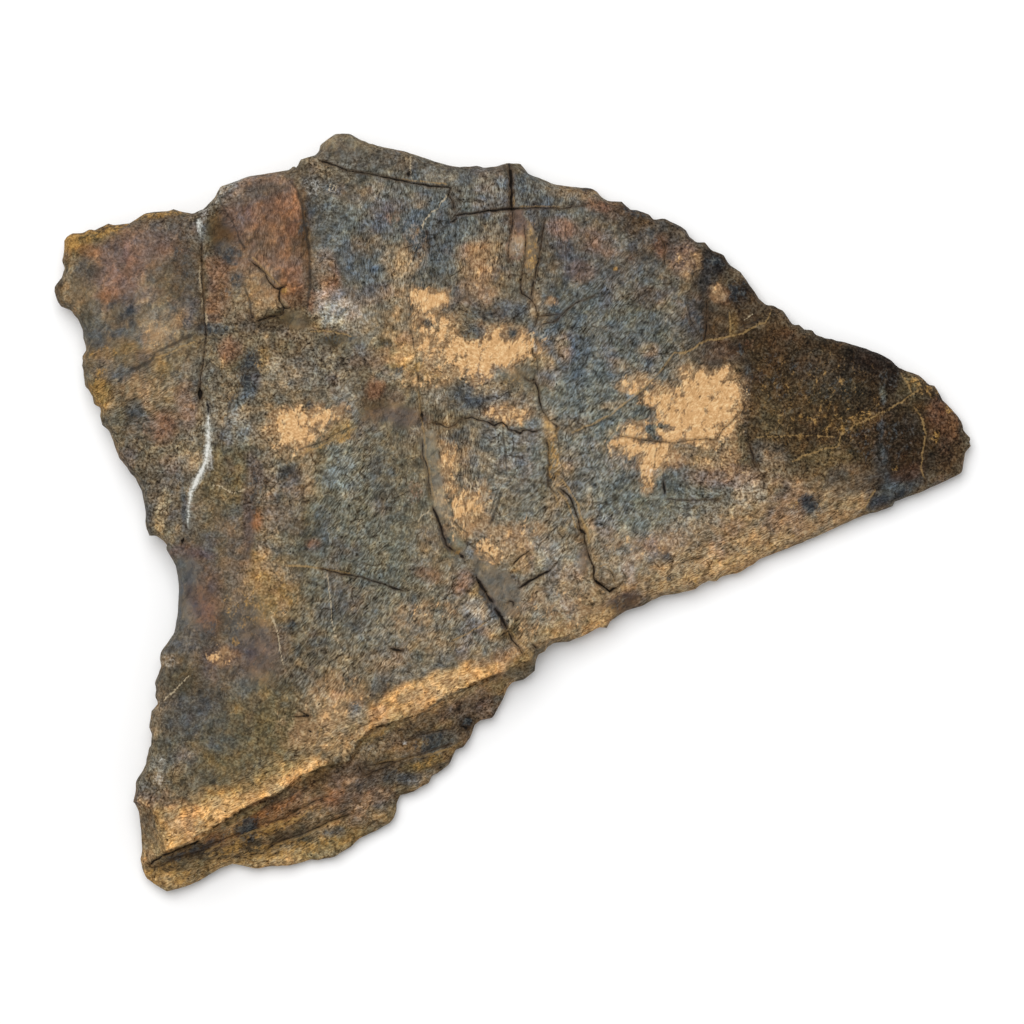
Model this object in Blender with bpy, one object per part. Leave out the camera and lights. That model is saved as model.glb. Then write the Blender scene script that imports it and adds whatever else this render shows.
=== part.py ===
"""A broken piece of the bony frill of a horned dinosaur, turned to stone, lying on its back.

The front of the bone looks up. X runs along the piece and Y across it, in metres. The origin is
under the middle of its box, on the surface that it lies on.
"""

import bpy
import bmesh
import numpy as np
from mathutils import Vector
from mathutils.geometry import delaunay_2d_cdt

# Driving dimensions, in metres
LENGTH = 0.598
EDGE_ROUNDING = 0.0026
EDGE_ROUNDING_WIDTH = 0.009
BACK_LIFT = 0.003
BACK_LIFT_WIDTH = 0.036
BROKEN_FOOT_HEIGHT = 0.0085
FRONT_SPACING = 0.0088
BACK_SPACING = 0.024

# How far in from the rim the rough edge's rings lie, from the front's flat to the back
SHELF_INSET = 0.0105
SHOULDER_INSET = 0.0046
UPPER_INSET = 0.0014
LOWER_INSET = 0.0018
BACK_INSET = 0.0062

# How high those rings lie, as shares of the thickness below or above the rim
UPPER_SHARE = 0.66
RIM_SHARE = 0.48
LOWER_SHARE = 0.42

# The rim wanders up and down in waves: how many there are round the piece, height and start
RIM_WAVES = [(9, 0.045, 0.0), (23, 0.027, 1.0), (47, 0.018, 2.0)]

# A ring is moved in by short steps, and each step pulls a point this share towards its neighbours
INSET_STEP = 0.0004
INSET_SMOOTHING = 0.2

# Plan points are picture pixels, across from the left and down from the top, seen straight on.
# The outline goes clockwise, one stretch after another.
TOP_LEFT_RIM = [
    (63, 240), (66, 236), (72, 233), (83, 232), (89, 229), (94, 230), (107, 223), (113, 225),
    (128, 223), (144, 213), (153, 211), (167, 210), (173, 208), (178, 210), (195, 214), (200, 212),
    (217, 195), (217, 191), (220, 186), (249, 176), (289, 169), (293, 165), (296, 167), (300, 159),
]
TOP_KNOB = [
    (318, 155), (320, 144), (325, 140), (335, 133), (342, 132), (349, 133), (369, 143), (373, 143),
    (377, 145), (406, 151), (449, 165), (460, 166), (477, 165), (484, 167), (497, 166), (508, 162),
]
TOP_RIGHT_RIM = [
    (520, 163), (529, 173), (544, 182), (592, 188), (597, 191), (602, 197), (609, 200), (622, 201),
    (631, 209), (638, 209), (644, 211), (650, 214), (654, 219), (665, 218), (681, 226), (687, 230),
    (690, 236), (697, 241), (705, 242), (713, 250), (724, 254), (731, 264), (741, 271), (763, 302),
    (769, 305), (774, 305), (784, 310), (794, 325), (800, 324), (805, 329), (813, 330), (816, 334),
    (827, 338), (833, 338), (864, 347), (886, 356), (900, 367), (920, 375), (930, 384),
]
TIP = [
    (936, 385), (944, 400), (960, 416), (963, 421), (965, 430), (972, 438), (971, 442), (973, 446),
    (967, 452), (964, 471), (962, 474),
]
LOWER_RIGHT_EDGE = [
    (920, 493), (896, 502), (894, 506), (884, 510), (855, 519), (800, 544), (760, 560), (754, 565),
    (737, 574), (722, 577), (717, 581), (709, 581), (703, 584), (696, 590), (670, 595), (653, 600),
    (644, 606), (626, 611), (610, 622), (607, 628), (599, 628), (580, 638), (570, 642), (550, 644),
    (544, 652), (539, 654),
]
BROKEN_SIDE_FOOT = [
    (536, 660), (535, 671), (524, 680), (513, 683), (507, 688), (501, 703), (494, 716), (491, 719),
    (481, 721), (475, 724), (470, 738), (463, 748), (455, 751), (448, 766), (437, 775), (432, 777),
    (428, 784), (421, 788), (414, 793), (396, 793), (396, 811), (393, 819), (388, 825), (380, 830),
    (359, 840), (350, 848), (334, 858), (318, 862), (310, 861), (290, 867), (268, 868), (256, 870),
    (241, 867), (234, 863), (220, 869), (190, 886), (166, 893), (145, 880), (141, 870), (139, 860),
    (141, 850), (140, 831), (138, 811), (133, 802),
]
LOWER_LEFT_EDGE = [
    (136, 782), (146, 763), (149, 748), (151, 746), (152, 735), (149, 728), (151, 711), (160, 702),
    (155, 697), (156, 690), (154, 683), (161, 666), (159, 659), (160, 653), (175, 631), (177, 622),
    (178, 577), (176, 567), (166, 549), (167, 545), (164, 542),
]
LEFT_EDGE = [
    (155, 536), (149, 536), (146, 528), (142, 484), (130, 474), (119, 458), (108, 430), (101, 425),
    (99, 416), (100, 410), (99, 407), (93, 404), (92, 396), (85, 387), (81, 366), (82, 360),
    (81, 357), (85, 350), (85, 346), (82, 338), (82, 330), (77, 318), (70, 310), (60, 306),
    (56, 301), (53, 291), (54, 286), (61, 277), (65, 266), (61, 260), (63, 249),
]
OUTLINE = (
    TOP_LEFT_RIM
    + TOP_KNOB
    + TOP_RIGHT_RIM
    + TIP
    + LOWER_RIGHT_EDGE
    + BROKEN_SIDE_FOOT
    + LOWER_LEFT_EDGE
    + LEFT_EDGE
)

# The sharp edge where the front ends and the broken, layered side falls away, left to right
FRONT_EDGE = [
    (140, 801), (157, 814), (168, 850), (197, 837), (227, 818), (254, 803), (284, 789), (302, 774),
    (326, 765), (350, 761), (360, 740), (374, 727), (392, 722), (416, 714), (443, 699), (475, 683),
    (504, 672), (522, 663), (534, 659),
]

# How far the broken side has fallen, from 0 at the front's edge to 1 at the foot, at shares of
# the way across it: a steep break, a slope of layers, a step and a ledge
BROKEN_WAY = [0.0, 0.10, 0.50, 0.60, 0.82, 1.0]
BROKEN_FALL = [0.0, 0.24, 0.52, 0.76, 0.86, 1.0]

# Heights of the front above the surface that the piece lies on, by part of the bone
LEFT_LOBE_HEIGHTS = [
    ((62, 285), 0.025), ((80, 245), 0.026), ((90, 350), 0.027), ((135, 225), 0.028),
    ((130, 300), 0.0315), ((110, 420), 0.028), ((190, 240), 0.0305), ((175, 380), 0.033),
    ((145, 500), 0.031), ((205, 450), 0.0325),
]
UPPER_HEIGHTS = [
    ((265, 185), 0.030), ((262, 250), 0.0325), ((340, 145), 0.026), ((345, 210), 0.0335),
    ((420, 170), 0.028), ((420, 240), 0.0335), ((510, 170), 0.025), ((520, 260), 0.0315),
    ((300, 340), 0.035), ((380, 340), 0.0355), ((460, 340), 0.0355), ((600, 200), 0.0225),
]
RIGHT_HEIGHTS = [
    ((620, 290), 0.030), ((700, 260), 0.0205), ((680, 340), 0.0295), ((750, 300), 0.019),
    ((560, 400), 0.035), ((690, 400), 0.0305), ((770, 370), 0.0235), ((800, 450), 0.024),
    ((860, 400), 0.0215), ((860, 460), 0.021), ((910, 385), 0.018), ((925, 450), 0.019),
    ((965, 445), 0.0145),
]
LOWER_RIGHT_HEIGHTS = [
    ((930, 484), 0.0145), ((862, 510), 0.0145), ((840, 485), 0.0195), ((760, 552), 0.0155),
    ((740, 505), 0.0255), ((690, 582), 0.0175), ((650, 590), 0.0195), ((660, 530), 0.028),
    ((600, 616), 0.0225), ((590, 560), 0.031), ((545, 636), 0.0255),
]
MIDDLE_HEIGHTS = [
    ((300, 450), 0.0365), ((400, 450), 0.0365), ((480, 480), 0.0355), ((260, 560), 0.0365),
    ((380, 560), 0.039), ((480, 600), 0.037), ((185, 600), 0.0325), ((180, 680), 0.0355),
    ((260, 680), 0.0395), ((360, 650), 0.0405), ((450, 660), 0.039), ((160, 770), 0.0385),
    ((230, 770), 0.0425), ((300, 740), 0.0420),
]
FRONT_EDGE_HEIGHTS = [
    ((165, 835), 0.0415), ((215, 825), 0.0425), ((285, 788), 0.0415), ((350, 758), 0.0400),
    ((400, 716), 0.0400), ((475, 683), 0.0365), ((530, 655), 0.0290),
]
FRONT_HEIGHTS = (
    LEFT_LOBE_HEIGHTS
    + UPPER_HEIGHTS
    + RIGHT_HEIGHTS
    + LOWER_RIGHT_HEIGHTS
    + MIDDLE_HEIGHTS
    + FRONT_EDGE_HEIGHTS
)

BONE_COLOUR = (0.177, 0.135, 0.090, 1.0)
BONE_ROUGHNESS = 0.75
SHARP_ANGLE = 40.0

# Settings of the triangulation: triangles inside the ring only, and how near points are one
INSIDE_EDGES_ONLY = 1
SAME_POINT = 1e-7


def in_metres(points):
    """Plan points as rows of X and Y, with the middle of the outline's box at zero."""
    outline = np.array(OUTLINE, float)
    low = outline.min(axis=0)
    high = outline.max(axis=0)
    scale = LENGTH / (high[0] - low[0])
    return (np.array(points, float) - (low + high) / 2) * (scale, -scale)


def distance_to_line(points, line, closed=False):
    """The distance of each point from a line of straight stretches."""
    ends = np.roll(line, -1, axis=0)
    stretches = list(zip(line, ends))
    if not closed:
        stretches.pop()
    nearest = np.full(len(points), np.inf)
    for start, end in stretches:
        along = end - start
        share = np.clip((points - start) @ along / (along @ along), 0.0, 1.0)
        gap = points - (start + share[:, None] * along)
        nearest = np.minimum(nearest, np.hypot(gap[:, 0], gap[:, 1]))
    return nearest


def smooth_step(values):
    """0 below 0, 1 above 1 and a soft S between."""
    held = np.clip(values, 0.0, 1.0)
    return held * held * (3.0 - 2.0 * held)


def thin_plate(places, heights):
    """The least bent surface through heights at a few places, as a function of points."""
    def bending(points):
        gaps = points[:, None, :] - places[None, :, :]
        squared = (gaps ** 2).sum(axis=2)
        return squared * np.log(np.maximum(squared, np.finfo(float).tiny))

    def plane(points):
        return np.column_stack([np.ones(len(points)), points])

    count = len(places)
    system = np.zeros((count + 3, count + 3))
    system[:count, :count] = bending(places)
    system[:count, count:] = plane(places)
    system[count:, :count] = plane(places).T
    weights = np.linalg.solve(system, np.concatenate([heights, np.zeros(3)]))
    return lambda points: bending(points) @ weights[:count] + plane(points) @ weights[count:]


def drawn_in(ring, distance):
    """The ring moved inwards bit by bit, smoothed as it goes so that it never crosses itself."""
    moved = ring.copy()
    steps = max(1, round(distance / INSET_STEP))
    for _ in range(steps):
        before = np.roll(moved, 1, axis=0)
        after = np.roll(moved, -1, axis=0)
        along = after - before
        along /= np.hypot(along[:, 0], along[:, 1])[:, None]
        inwards = np.column_stack([along[:, 1], -along[:, 0]])
        moved += inwards * (distance / steps)
        moved += ((before + after) / 2 - moved) * INSET_SMOOTHING
    return moved


def staggered_grid(low, high, spacing):
    """Points in rows, each row shifted by half a step, as the corners of even triangles."""
    points = []
    for row, y in enumerate(np.arange(low[1], high[1], spacing * np.sqrt(0.75))):
        for x in np.arange(low[0] + spacing / 2 * (row % 2), high[0], spacing):
            points.append((x, y))
    return np.array(points)


def sheet(ring, loose, crease, spacing):
    """Triangles that fill a ring. They have corners at the loose points and edges along the
    crease. Returned are the plan points, the triangles and each ring point's place."""
    grid = staggered_grid(ring.min(axis=0), ring.max(axis=0), spacing)
    clear = distance_to_line(grid, ring, closed=True) > spacing / 2
    for line in (loose, crease):
        if len(line):
            clear &= distance_to_line(grid, line, closed=line is loose) > spacing / 2
    points = np.concatenate([ring, crease, loose, grid[clear]])
    edges = [(i, (i + 1) % len(ring)) for i in range(len(ring))]
    edges += [(len(ring) + i, len(ring) + i + 1) for i in range(len(crease) - 1)]
    corners = [Vector(point) for point in points]
    found = delaunay_2d_cdt(corners, edges, [], INSIDE_EDGES_ONLY, SAME_POINT)
    plan = np.array([tuple(point) for point in found[0]])
    place = {source: new for new, sources in enumerate(found[3]) for source in sources}
    return plan, [tuple(face) for face in found[2]], [place[i] for i in range(len(ring))]


class Frill:
    """The heights of the front and the back at any plan point."""

    def __init__(self):
        self.outline = in_metres(OUTLINE)
        self.front_edge = in_metres(FRONT_EDGE)
        places = in_metres([place for place, _ in FRONT_HEIGHTS])
        heights = np.array([height for _, height in FRONT_HEIGHTS])
        self.bone = thin_plate(places, heights)

    def front(self, points):
        """The bone's gentle swell, rounded at its edges and broken away on the lower left."""
        inside = distance_to_line(points, self.outline, closed=True)
        rounding = EDGE_ROUNDING * (1.0 - smooth_step(inside / EDGE_ROUNDING_WIDTH))
        whole = self.bone(points)
        edge_x = self.front_edge[:, 0]
        edge_y = self.front_edge[:, 1]
        reach = points[:, 0] < edge_x[-1]
        broken = reach & (points[:, 1] < np.interp(points[:, 0], edge_x, edge_y))
        across = distance_to_line(points, self.front_edge)
        way = across / (across + inside + SAME_POINT)
        fall = np.interp(way, BROKEN_WAY, BROKEN_FALL)
        fallen = whole + (BROKEN_FOOT_HEIGHT - whole) * fall
        return np.where(broken, fallen, whole - rounding)

    def back(self, points):
        """Flat where the piece lies, and a little lifted towards its edges."""
        inside = distance_to_line(points, self.outline, closed=True)
        return BACK_LIFT * (1.0 - smooth_step(inside / BACK_LIFT_WIDTH))


def between(low, high, share):
    return low + (high - low) * share


def rim_sway(count):
    """How far the rim wanders at each of its points, as a share of the thickness."""
    turn = np.linspace(0.0, 2.0 * np.pi, count, endpoint=False)
    return sum(height * np.sin(waves * turn + start) for waves, height, start in RIM_WAVES)


def frill_mesh():
    """One closed skin: the front sheet, the rough edge's rings and the back sheet."""
    frill = Frill()
    outline = frill.outline
    shoulder = drawn_in(outline, SHOULDER_INSET)
    shelf = drawn_in(outline, SHELF_INSET)
    foot = drawn_in(outline, BACK_INSET)
    crease = frill.front_edge[1:-2]
    nothing = np.empty((0, 2))
    front_plan, front_faces, front_ring = sheet(shoulder, shelf, crease, FRONT_SPACING)
    back_plan, back_faces, back_ring = sheet(foot, nothing, nothing, BACK_SPACING)
    front_points = np.column_stack([front_plan, frill.front(front_plan)])
    back_points = np.column_stack([back_plan, frill.back(back_plan)])

    shoulder_heights = front_points[front_ring, 2]
    foot_heights = back_points[back_ring, 2]
    rim_heights = between(foot_heights, shoulder_heights, RIM_SHARE + rim_sway(len(outline)))
    upper_heights = between(rim_heights, shoulder_heights, UPPER_SHARE)
    lower_heights = between(foot_heights, rim_heights, LOWER_SHARE)
    edge_rings = [
        np.column_stack([drawn_in(outline, UPPER_INSET), upper_heights]),
        np.column_stack([outline, rim_heights]),
        np.column_stack([drawn_in(outline, LOWER_INSET), lower_heights]),
    ]

    ring_places = [front_ring]
    start = len(front_points)
    for ring in edge_rings:
        ring_places.append(range(start, start + len(ring)))
        start += len(ring)
    ring_places.append([start + place for place in back_ring])
    faces = front_faces + [tuple(start + corner for corner in face) for face in back_faces]
    for upper, lower in zip(ring_places, ring_places[1:]):
        for here in range(len(upper)):
            after = (here + 1) % len(upper)
            faces.append((upper[here], upper[after], lower[after], lower[here]))
    return np.concatenate([front_points] + edge_rings + [back_points]), faces


def stone_bone():
    material = bpy.data.materials.new("stone_bone")
    material.use_nodes = True
    shader = material.node_tree.nodes["Principled BSDF"]
    shader.inputs["Base Color"].default_value = BONE_COLOUR
    shader.inputs["Roughness"].default_value = BONE_ROUGHNESS
    shader.inputs["Metallic"].default_value = 0.0
    return material


def build_frill():
    points, faces = frill_mesh()
    mesh = bpy.data.meshes.new("frill")
    mesh.from_pydata([tuple(point) for point in points], [], faces)
    skin = bmesh.new()
    skin.from_mesh(mesh)
    bmesh.ops.triangulate(skin, faces=skin.faces)
    bmesh.ops.recalc_face_normals(skin, faces=skin.faces)
    skin.to_mesh(mesh)
    skin.free()
    mesh.shade_smooth()
    mesh.set_sharp_from_angle(angle=np.radians(SHARP_ANGLE))
    mesh.materials.append(stone_bone())
    frill = bpy.data.objects.new("frill", mesh)
    bpy.context.scene.collection.objects.link(frill)


def clear_scene():
    for old in list(bpy.data.objects):
        bpy.data.objects.remove(old)


clear_scene()
build_frill()
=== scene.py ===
import itertools

import bpy
import numpy as np
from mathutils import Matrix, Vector
from mathutils.bvhtree import BVHTree
from mathutils.geometry import delaunay_2d_cdt
from mathutils.kdtree import KDTree


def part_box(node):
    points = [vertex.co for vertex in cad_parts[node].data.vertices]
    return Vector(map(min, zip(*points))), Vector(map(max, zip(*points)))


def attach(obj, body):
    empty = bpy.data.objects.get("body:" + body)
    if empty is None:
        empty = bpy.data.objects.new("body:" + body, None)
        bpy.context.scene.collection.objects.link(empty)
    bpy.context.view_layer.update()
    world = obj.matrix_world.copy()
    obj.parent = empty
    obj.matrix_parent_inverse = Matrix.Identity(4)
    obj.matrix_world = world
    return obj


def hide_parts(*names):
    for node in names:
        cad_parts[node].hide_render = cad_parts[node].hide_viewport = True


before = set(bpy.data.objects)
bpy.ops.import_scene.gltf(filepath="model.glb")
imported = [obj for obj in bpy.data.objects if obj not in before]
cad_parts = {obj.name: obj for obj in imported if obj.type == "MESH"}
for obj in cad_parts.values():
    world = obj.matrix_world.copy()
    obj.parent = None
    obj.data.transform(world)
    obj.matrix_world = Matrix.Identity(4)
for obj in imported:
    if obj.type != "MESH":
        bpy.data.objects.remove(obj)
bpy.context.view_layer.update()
cad_low, cad_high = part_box("frill")
MM = 0.001

# The picture's frame: places on the bone are picture pixels, across from the left and down from
# the top, seen straight on. The bone's box is centred on the middle place.
PICTURE_WIDTH = 1024.0
MIDDLE_PLACE = np.array([513.0, 512.5])
LENGTH_IN_PICTURE = 920.0
PIXEL = (cad_high.x - cad_low.x) / LENGTH_IN_PICTURE

# Fineness of the skin, in pixels of the picture and millimetres of the bone
GRID_STEP = 2.75
ROW_STEP = 1.6
LEAST_GAP = 0.8
RIM_STEP = 1.55 * MM
BACK_STEP = 6.0 * MM
BAND_ROWS = 9

# How far the rough edge's first and last rings lie in from the rim, how high up the edge the rim
# is, and the steps in which a ring is drawn in
SHOULDER_INSET = 4.4 * MM
FOOT_INSET = 6.2 * MM
RIM_SHARE = 0.48
RIM_WAVE = (0.06, 30.0 * MM)
INSET_STEP = 0.25 * MM
INSET_SMOOTHING = 0.36

# Random lumps in layers, each a strength and a size. A line's bends and uneven width, and the
# bends of the broken layers, are in pixels.
LINE_BENDS = ((0.9, 6.0), (0.55, 2.7))
LINE_WIDTHS = ((0.5, 10.0), (0.5, 3.6))
LAYER_BENDS = ((5.0, 40.0), (1.6, 9.0))
# The front's and the broken side's are a height in metres and a size in pixels.
FRONT_LUMPS = ((0.80 * MM, 24.0 * MM / PIXEL), (0.55 * MM, 9.0 * MM / PIXEL),
               (0.30 * MM, 4.2 * MM / PIXEL))
BROKEN_LUMPS = ((0.9 * MM, 7.0 * MM / PIXEL), (0.5 * MM, 3.2 * MM / PIXEL))
# The others have a size in metres.
RIM_NICKS = ((0.5, 7.0 * MM), (0.32, 3.2 * MM))
WALL_BITES = ((0.6, 5.0 * MM), (0.4, 2.2 * MM))
BACK_LUMPS = ((1.0, 22.0 * MM), (0.5, 9.0 * MM))
BACK_RISE = 1.1 * MM
COARSE_BITES = (0.8, 6.0 * MM)
FINE_BITES = (0.5, 3.0 * MM)
FLATTENED = (1, 1, 2.5)

# How a drawn line ends, in pixels and as shares of its width, and the rows of corners beside it
STRAIGHT_END = 4.0
TAPER_REACH = 5.0
END_WIDTH = 0.35
MIDDLE_WIDTH = 0.9
LEAST_WIDTH = 0.12
LEAST_LIP = 0.55
LIP_STEP = 1.3
LINE_REACH = 6.0
# How full the rounded bottom of an open crack is, and the depth and half width in pixels of the
# soft dip that it lies in
CRACK_FULLNESS = 0.55
DIP_DEPTH = 0.25 * MM
DIP_HALF = 2.6
# The broken side's layers: pixels from step to step, and height of a step in millimetres
LAYERS = ((15.0, 1.5), (6.3, 0.7))

# Open cracks: width and depth in millimetres, then the places along each
OPEN_CRACKS = [
    # the cap along the top, and the line below it
    (1.3, 2.4, [
        (320, 161), (330, 163.5), (340, 168), (350, 172), (360, 173), (370, 174), (378, 175.5),
        (388, 178.5), (396, 180.4), (406, 182.3), (415, 184.3), (425.5, 185.6), (437, 187), (447.5, 187.5),
        (451, 188), (450, 193), (448.4, 195.3)]),
    (0.8, 1.4, [(448.4, 195.3), (450.8, 198), (453.4, 203), (454.3, 211)]),
    (2.8, 2.6, [(409.5, 172), (409, 177)]), (1.8, 1.8, [(451, 223), (456.6, 219.4)]),
    (1.2, 2.0, [(455, 216), (463, 215), (471, 214.5), (480, 213), (490.4, 211.5)]),
    (1.6, 2.2, [(488, 211.7), (499.5, 210.5), (510, 209.5), (519, 209)]),
    (0.8, 1.2, [(519, 209), (540, 208.3), (560, 208.6), (575, 207), (585, 206)]),
    (0.9, 1.2, [(405, 249), (413, 246)]), (1.6, 1.8, [(426.5, 232), (427.5, 236)]),
    # the main crack, from the top edge down
    (2.2, 3.2, [(508.5, 161), (510, 169), (511, 178), (512, 189), (512.5, 195), (511.5, 201), (512, 210)]),
    (0.7, 1.4, [(512.5, 210), (512.5, 222.6), (510.5, 235), (509, 250), (508, 262)]),
    (0.8, 1.4, [(524, 226), (525.5, 238), (525.5, 250), (525, 260), (523, 269), (521, 281)]),
    (1.2, 2.2, [
        (521, 281), (520.5, 289), (522, 294), (527, 297), (531, 300.5), (534.5, 306), (536.5, 311),
        (537.8, 316)]),
    (1.1, 1.6, [(544.5, 218), (543.5, 228), (542, 238)]),
    (0.7, 1.4, [(542, 238), (540.4, 248.6), (539, 260)]),
    (1.1, 1.6, [(539, 260), (536.5, 269), (534.5, 280), (532.5, 288), (531, 298)]),
    (1.0, 1.4, [(537.8, 316), (537, 322), (535, 327)]), (1.5, 1.6, [(532, 349), (533, 355)]),
    (1.1, 1.6, [(524.5, 378), (529, 381.5), (534, 381)]),
    (1.2, 1.8, [(534, 381), (538, 391), (540, 402), (543, 412), (547, 419)]),
    (1.0, 1.4, [(551.5, 422.5), (556, 427), (555, 432.5)]),
    (0.8, 1.2, [(546, 440), (548, 452), (549.5, 462), (547, 476), (549, 486), (554, 492.5)]),
    (1.4, 2.2, [(560.5, 489), (567, 495), (571, 500), (574.5, 508), (577, 518), (580, 528)]),
    (3.2, 3.0, [(579.5, 529.5), (585, 533.5)]),
    (1.3, 2.0, [(584, 535), (585.5, 546), (589, 556), (593, 567), (594, 579)]),
    (2.6, 3.4, [(594, 579.6), (601.3, 585.5), (610.4, 592)]),
    (1.9, 3.0, [(609, 592), (614.3, 588), (616.2, 589)]),
    (0.6, 0.7, [(615, 581), (612, 573), (606.5, 569), (601, 570)]),
    # side cracks of the main crack
    (0.8, 1.2, [(537.4, 316.8), (551, 315.6), (560, 314.5)]),
    (0.7, 0.9, [(542, 324.8), (555.8, 321.4), (566, 311), (576, 303), (594.8, 296)]),
    # the zigzag and the dashes
    (0.9, 1.4, [(434, 424), (441, 424.5), (446, 427.5), (449, 428)]),
    (0.7, 1.0, [(449, 428), (455, 425.5), (460, 420), (466, 419)]),
    (1.1, 1.9, [
        (466, 419), (472, 417.5), (478, 421), (484, 420.5), (489, 423), (495, 426), (498, 423.5),
        (502, 423), (507, 426), (508, 430), (515, 431), (520, 434), (522.5, 430), (528, 430.5),
        (533, 432.5), (540, 430)]),
    (1.7, 2.2, [(518.8, 588), (527, 583), (536, 577), (542, 574), (549.4, 570.8)]),
    (1.1, 1.6, [(511.6, 565.7), (516, 561), (521.5, 556), (530, 549.5)]),
    (1.6, 1.8, [(390.5, 647.5), (397, 649.5), (403.5, 650.3)]), (1.0, 1.2, [(500, 636), (508, 631)]),
    (0.8, 1.2, [(680.8, 563.4), (690, 559.5), (703, 557)]),
    # edges and holes of the filled valley; the black of the cracks from 422, 440 down to 523, 655,
    # along its left edge, is partly painted shade of the higher bone beside it
    (0.9, 1.2, [(422.5, 440), (423.5, 455), (428, 469), (430, 485), (432, 500)]),
    (1.7, 2.4, [(433, 507), (435, 512), (440, 522), (443, 535), (447, 545), (454, 551)]),
    (2.4, 2.6, [(476.5, 577), (481, 585), (486, 592)]), (2.2, 2.2, [(486, 592), (489, 598), (493, 602)]),
    (2.2, 2.4, [(495, 608), (499, 614), (503, 620), (506.5, 628)]),
    (1.0, 1.6, [(508, 631), (512, 640), (520, 648), (523, 655)]), (2.0, 2.0, [(533, 644.5), (536, 648)]),
    (3.0, 2.6, [(460, 554), (464, 558)]), (1.4, 1.6, [(418.4, 374), (418.8, 382)]),
    (2.6, 2.4, [(422, 412), (422.5, 420)]),
    (1.4, 1.4, [(507.5, 603.5), (510, 601), (513.5, 602.5), (513, 606)]),
    # the middle left
    (1.0, 1.4, [(320, 568), (334, 571.6), (351, 575.3), (369.4, 578.8), (385.7, 584.5)]),
    (1.4, 2.0, [(385.7, 584.5), (395, 588), (403, 590.2)]),
    # the lower left
    (1.3, 1.8, [(299.8, 709), (309.4, 714.8), (303, 715.4), (296, 715.7)]),
    (2.2, 1.8, [(310.6, 729.6), (312, 730.6)]), (0.9, 1.2, [(357, 765), (360.4, 766.8), (363, 773)]),
    (0.9, 1.2, [(367, 765.5), (380, 763), (393, 761.6)]),
    # the long crack of the left lobe
    (1.4, 2.4, [(202.3, 245), (202.2, 252), (202.6, 262)]),
    (0.8, 1.6, [
        (202.6, 262), (202.4, 279), (203.4, 292), (204.6, 304), (205, 317), (206, 326), (206.9, 336)]),
    (0.9, 1.6, [(206.9, 336), (205.6, 344), (205, 353), (203.6, 366), (201.7, 379), (200.8, 389)]),
    (3.6, 3.6, [(200.9, 389), (200.8, 393), (200.8, 399.5)]), (1.8, 2.4, [(208, 402), (209, 414.4)]),
    (2.2, 2.0, [(186.6, 525), (187.4, 528)]), (4.0, 3.2, [(184.4, 538.5), (182.6, 544)]),
    # between the rust plate and its fragment
    (1.3, 2.0, [(252, 262), (257, 266.5), (262, 270), (266, 275), (270, 283), (275, 288.5)]),
    (2.0, 2.4, [(275, 288.5), (280, 290), (284, 287.5)]),
    (1.6, 2.4, [(281, 290), (279, 297), (281, 303), (284.5, 309), (291, 308.5)]),
    (1.2, 1.6, [(284, 309), (284, 314), (278, 316.5)]),
    (1.5, 2.0, [(258, 321.5), (265, 319.5), (278, 316)]),
    # the big light patch and round it
    (0.6, 1.0, [
        (617.7, 436), (645.3, 440.7), (672.8, 443), (698, 439.6), (716.5, 439.6), (723.3, 429.3),
        (734.8, 419), (744, 408.6), (743, 401.7)]),
    (1.1, 1.6, [(706.8, 300), (706, 329), (704, 342)]),
    (0.9, 1.3, [(660, 236.6), (664, 243), (665, 251), (664, 264)]),
    (1.3, 1.4, [(749.7, 444.5), (752, 456), (755.5, 467.5)]),
    (1.6, 1.8, [(662.7, 480), (663.4, 487), (664.7, 494)]),
    (0.7, 0.8, [(664.7, 499), (690, 500.5), (720, 499.7)]), (1.6, 1.8, [(925.7, 480), (926.7, 485)]),
    # the broken side's own layers
    (1.6, 2.6, [(149, 866), (159, 857.5), (170.6, 851.7), (185, 846.5), (199, 840)]),
    (0.8, 1.4, [(142, 870), (161.6, 866), (174.5, 857.5), (192.7, 853), (210, 848)]),
    (0.9, 1.6, [
        (250, 855.7), (261.7, 853.8), (276, 843.4), (289, 838.8), (302, 834.3), (315, 829), (328, 822.6),
        (341, 817.4), (348.7, 815.5)]),
    (0.6, 1.2, [(293, 812), (308.4, 804.4), (318.8, 799), (332, 795)]),
    (0.8, 1.4, [(205, 846), (226, 838), (238, 833)]), (0.6, 1.2, [(268, 822), (284, 818), (300, 808)]),
    (0.6, 1.2, [(408, 740), (425, 733), (452, 729)]), (2.4, 2.4, [(462, 727), (470, 728.5)]),
    (0.7, 1.2, [(362, 776), (384, 768), (408, 757), (430, 752), (452, 744)]),
]

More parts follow.
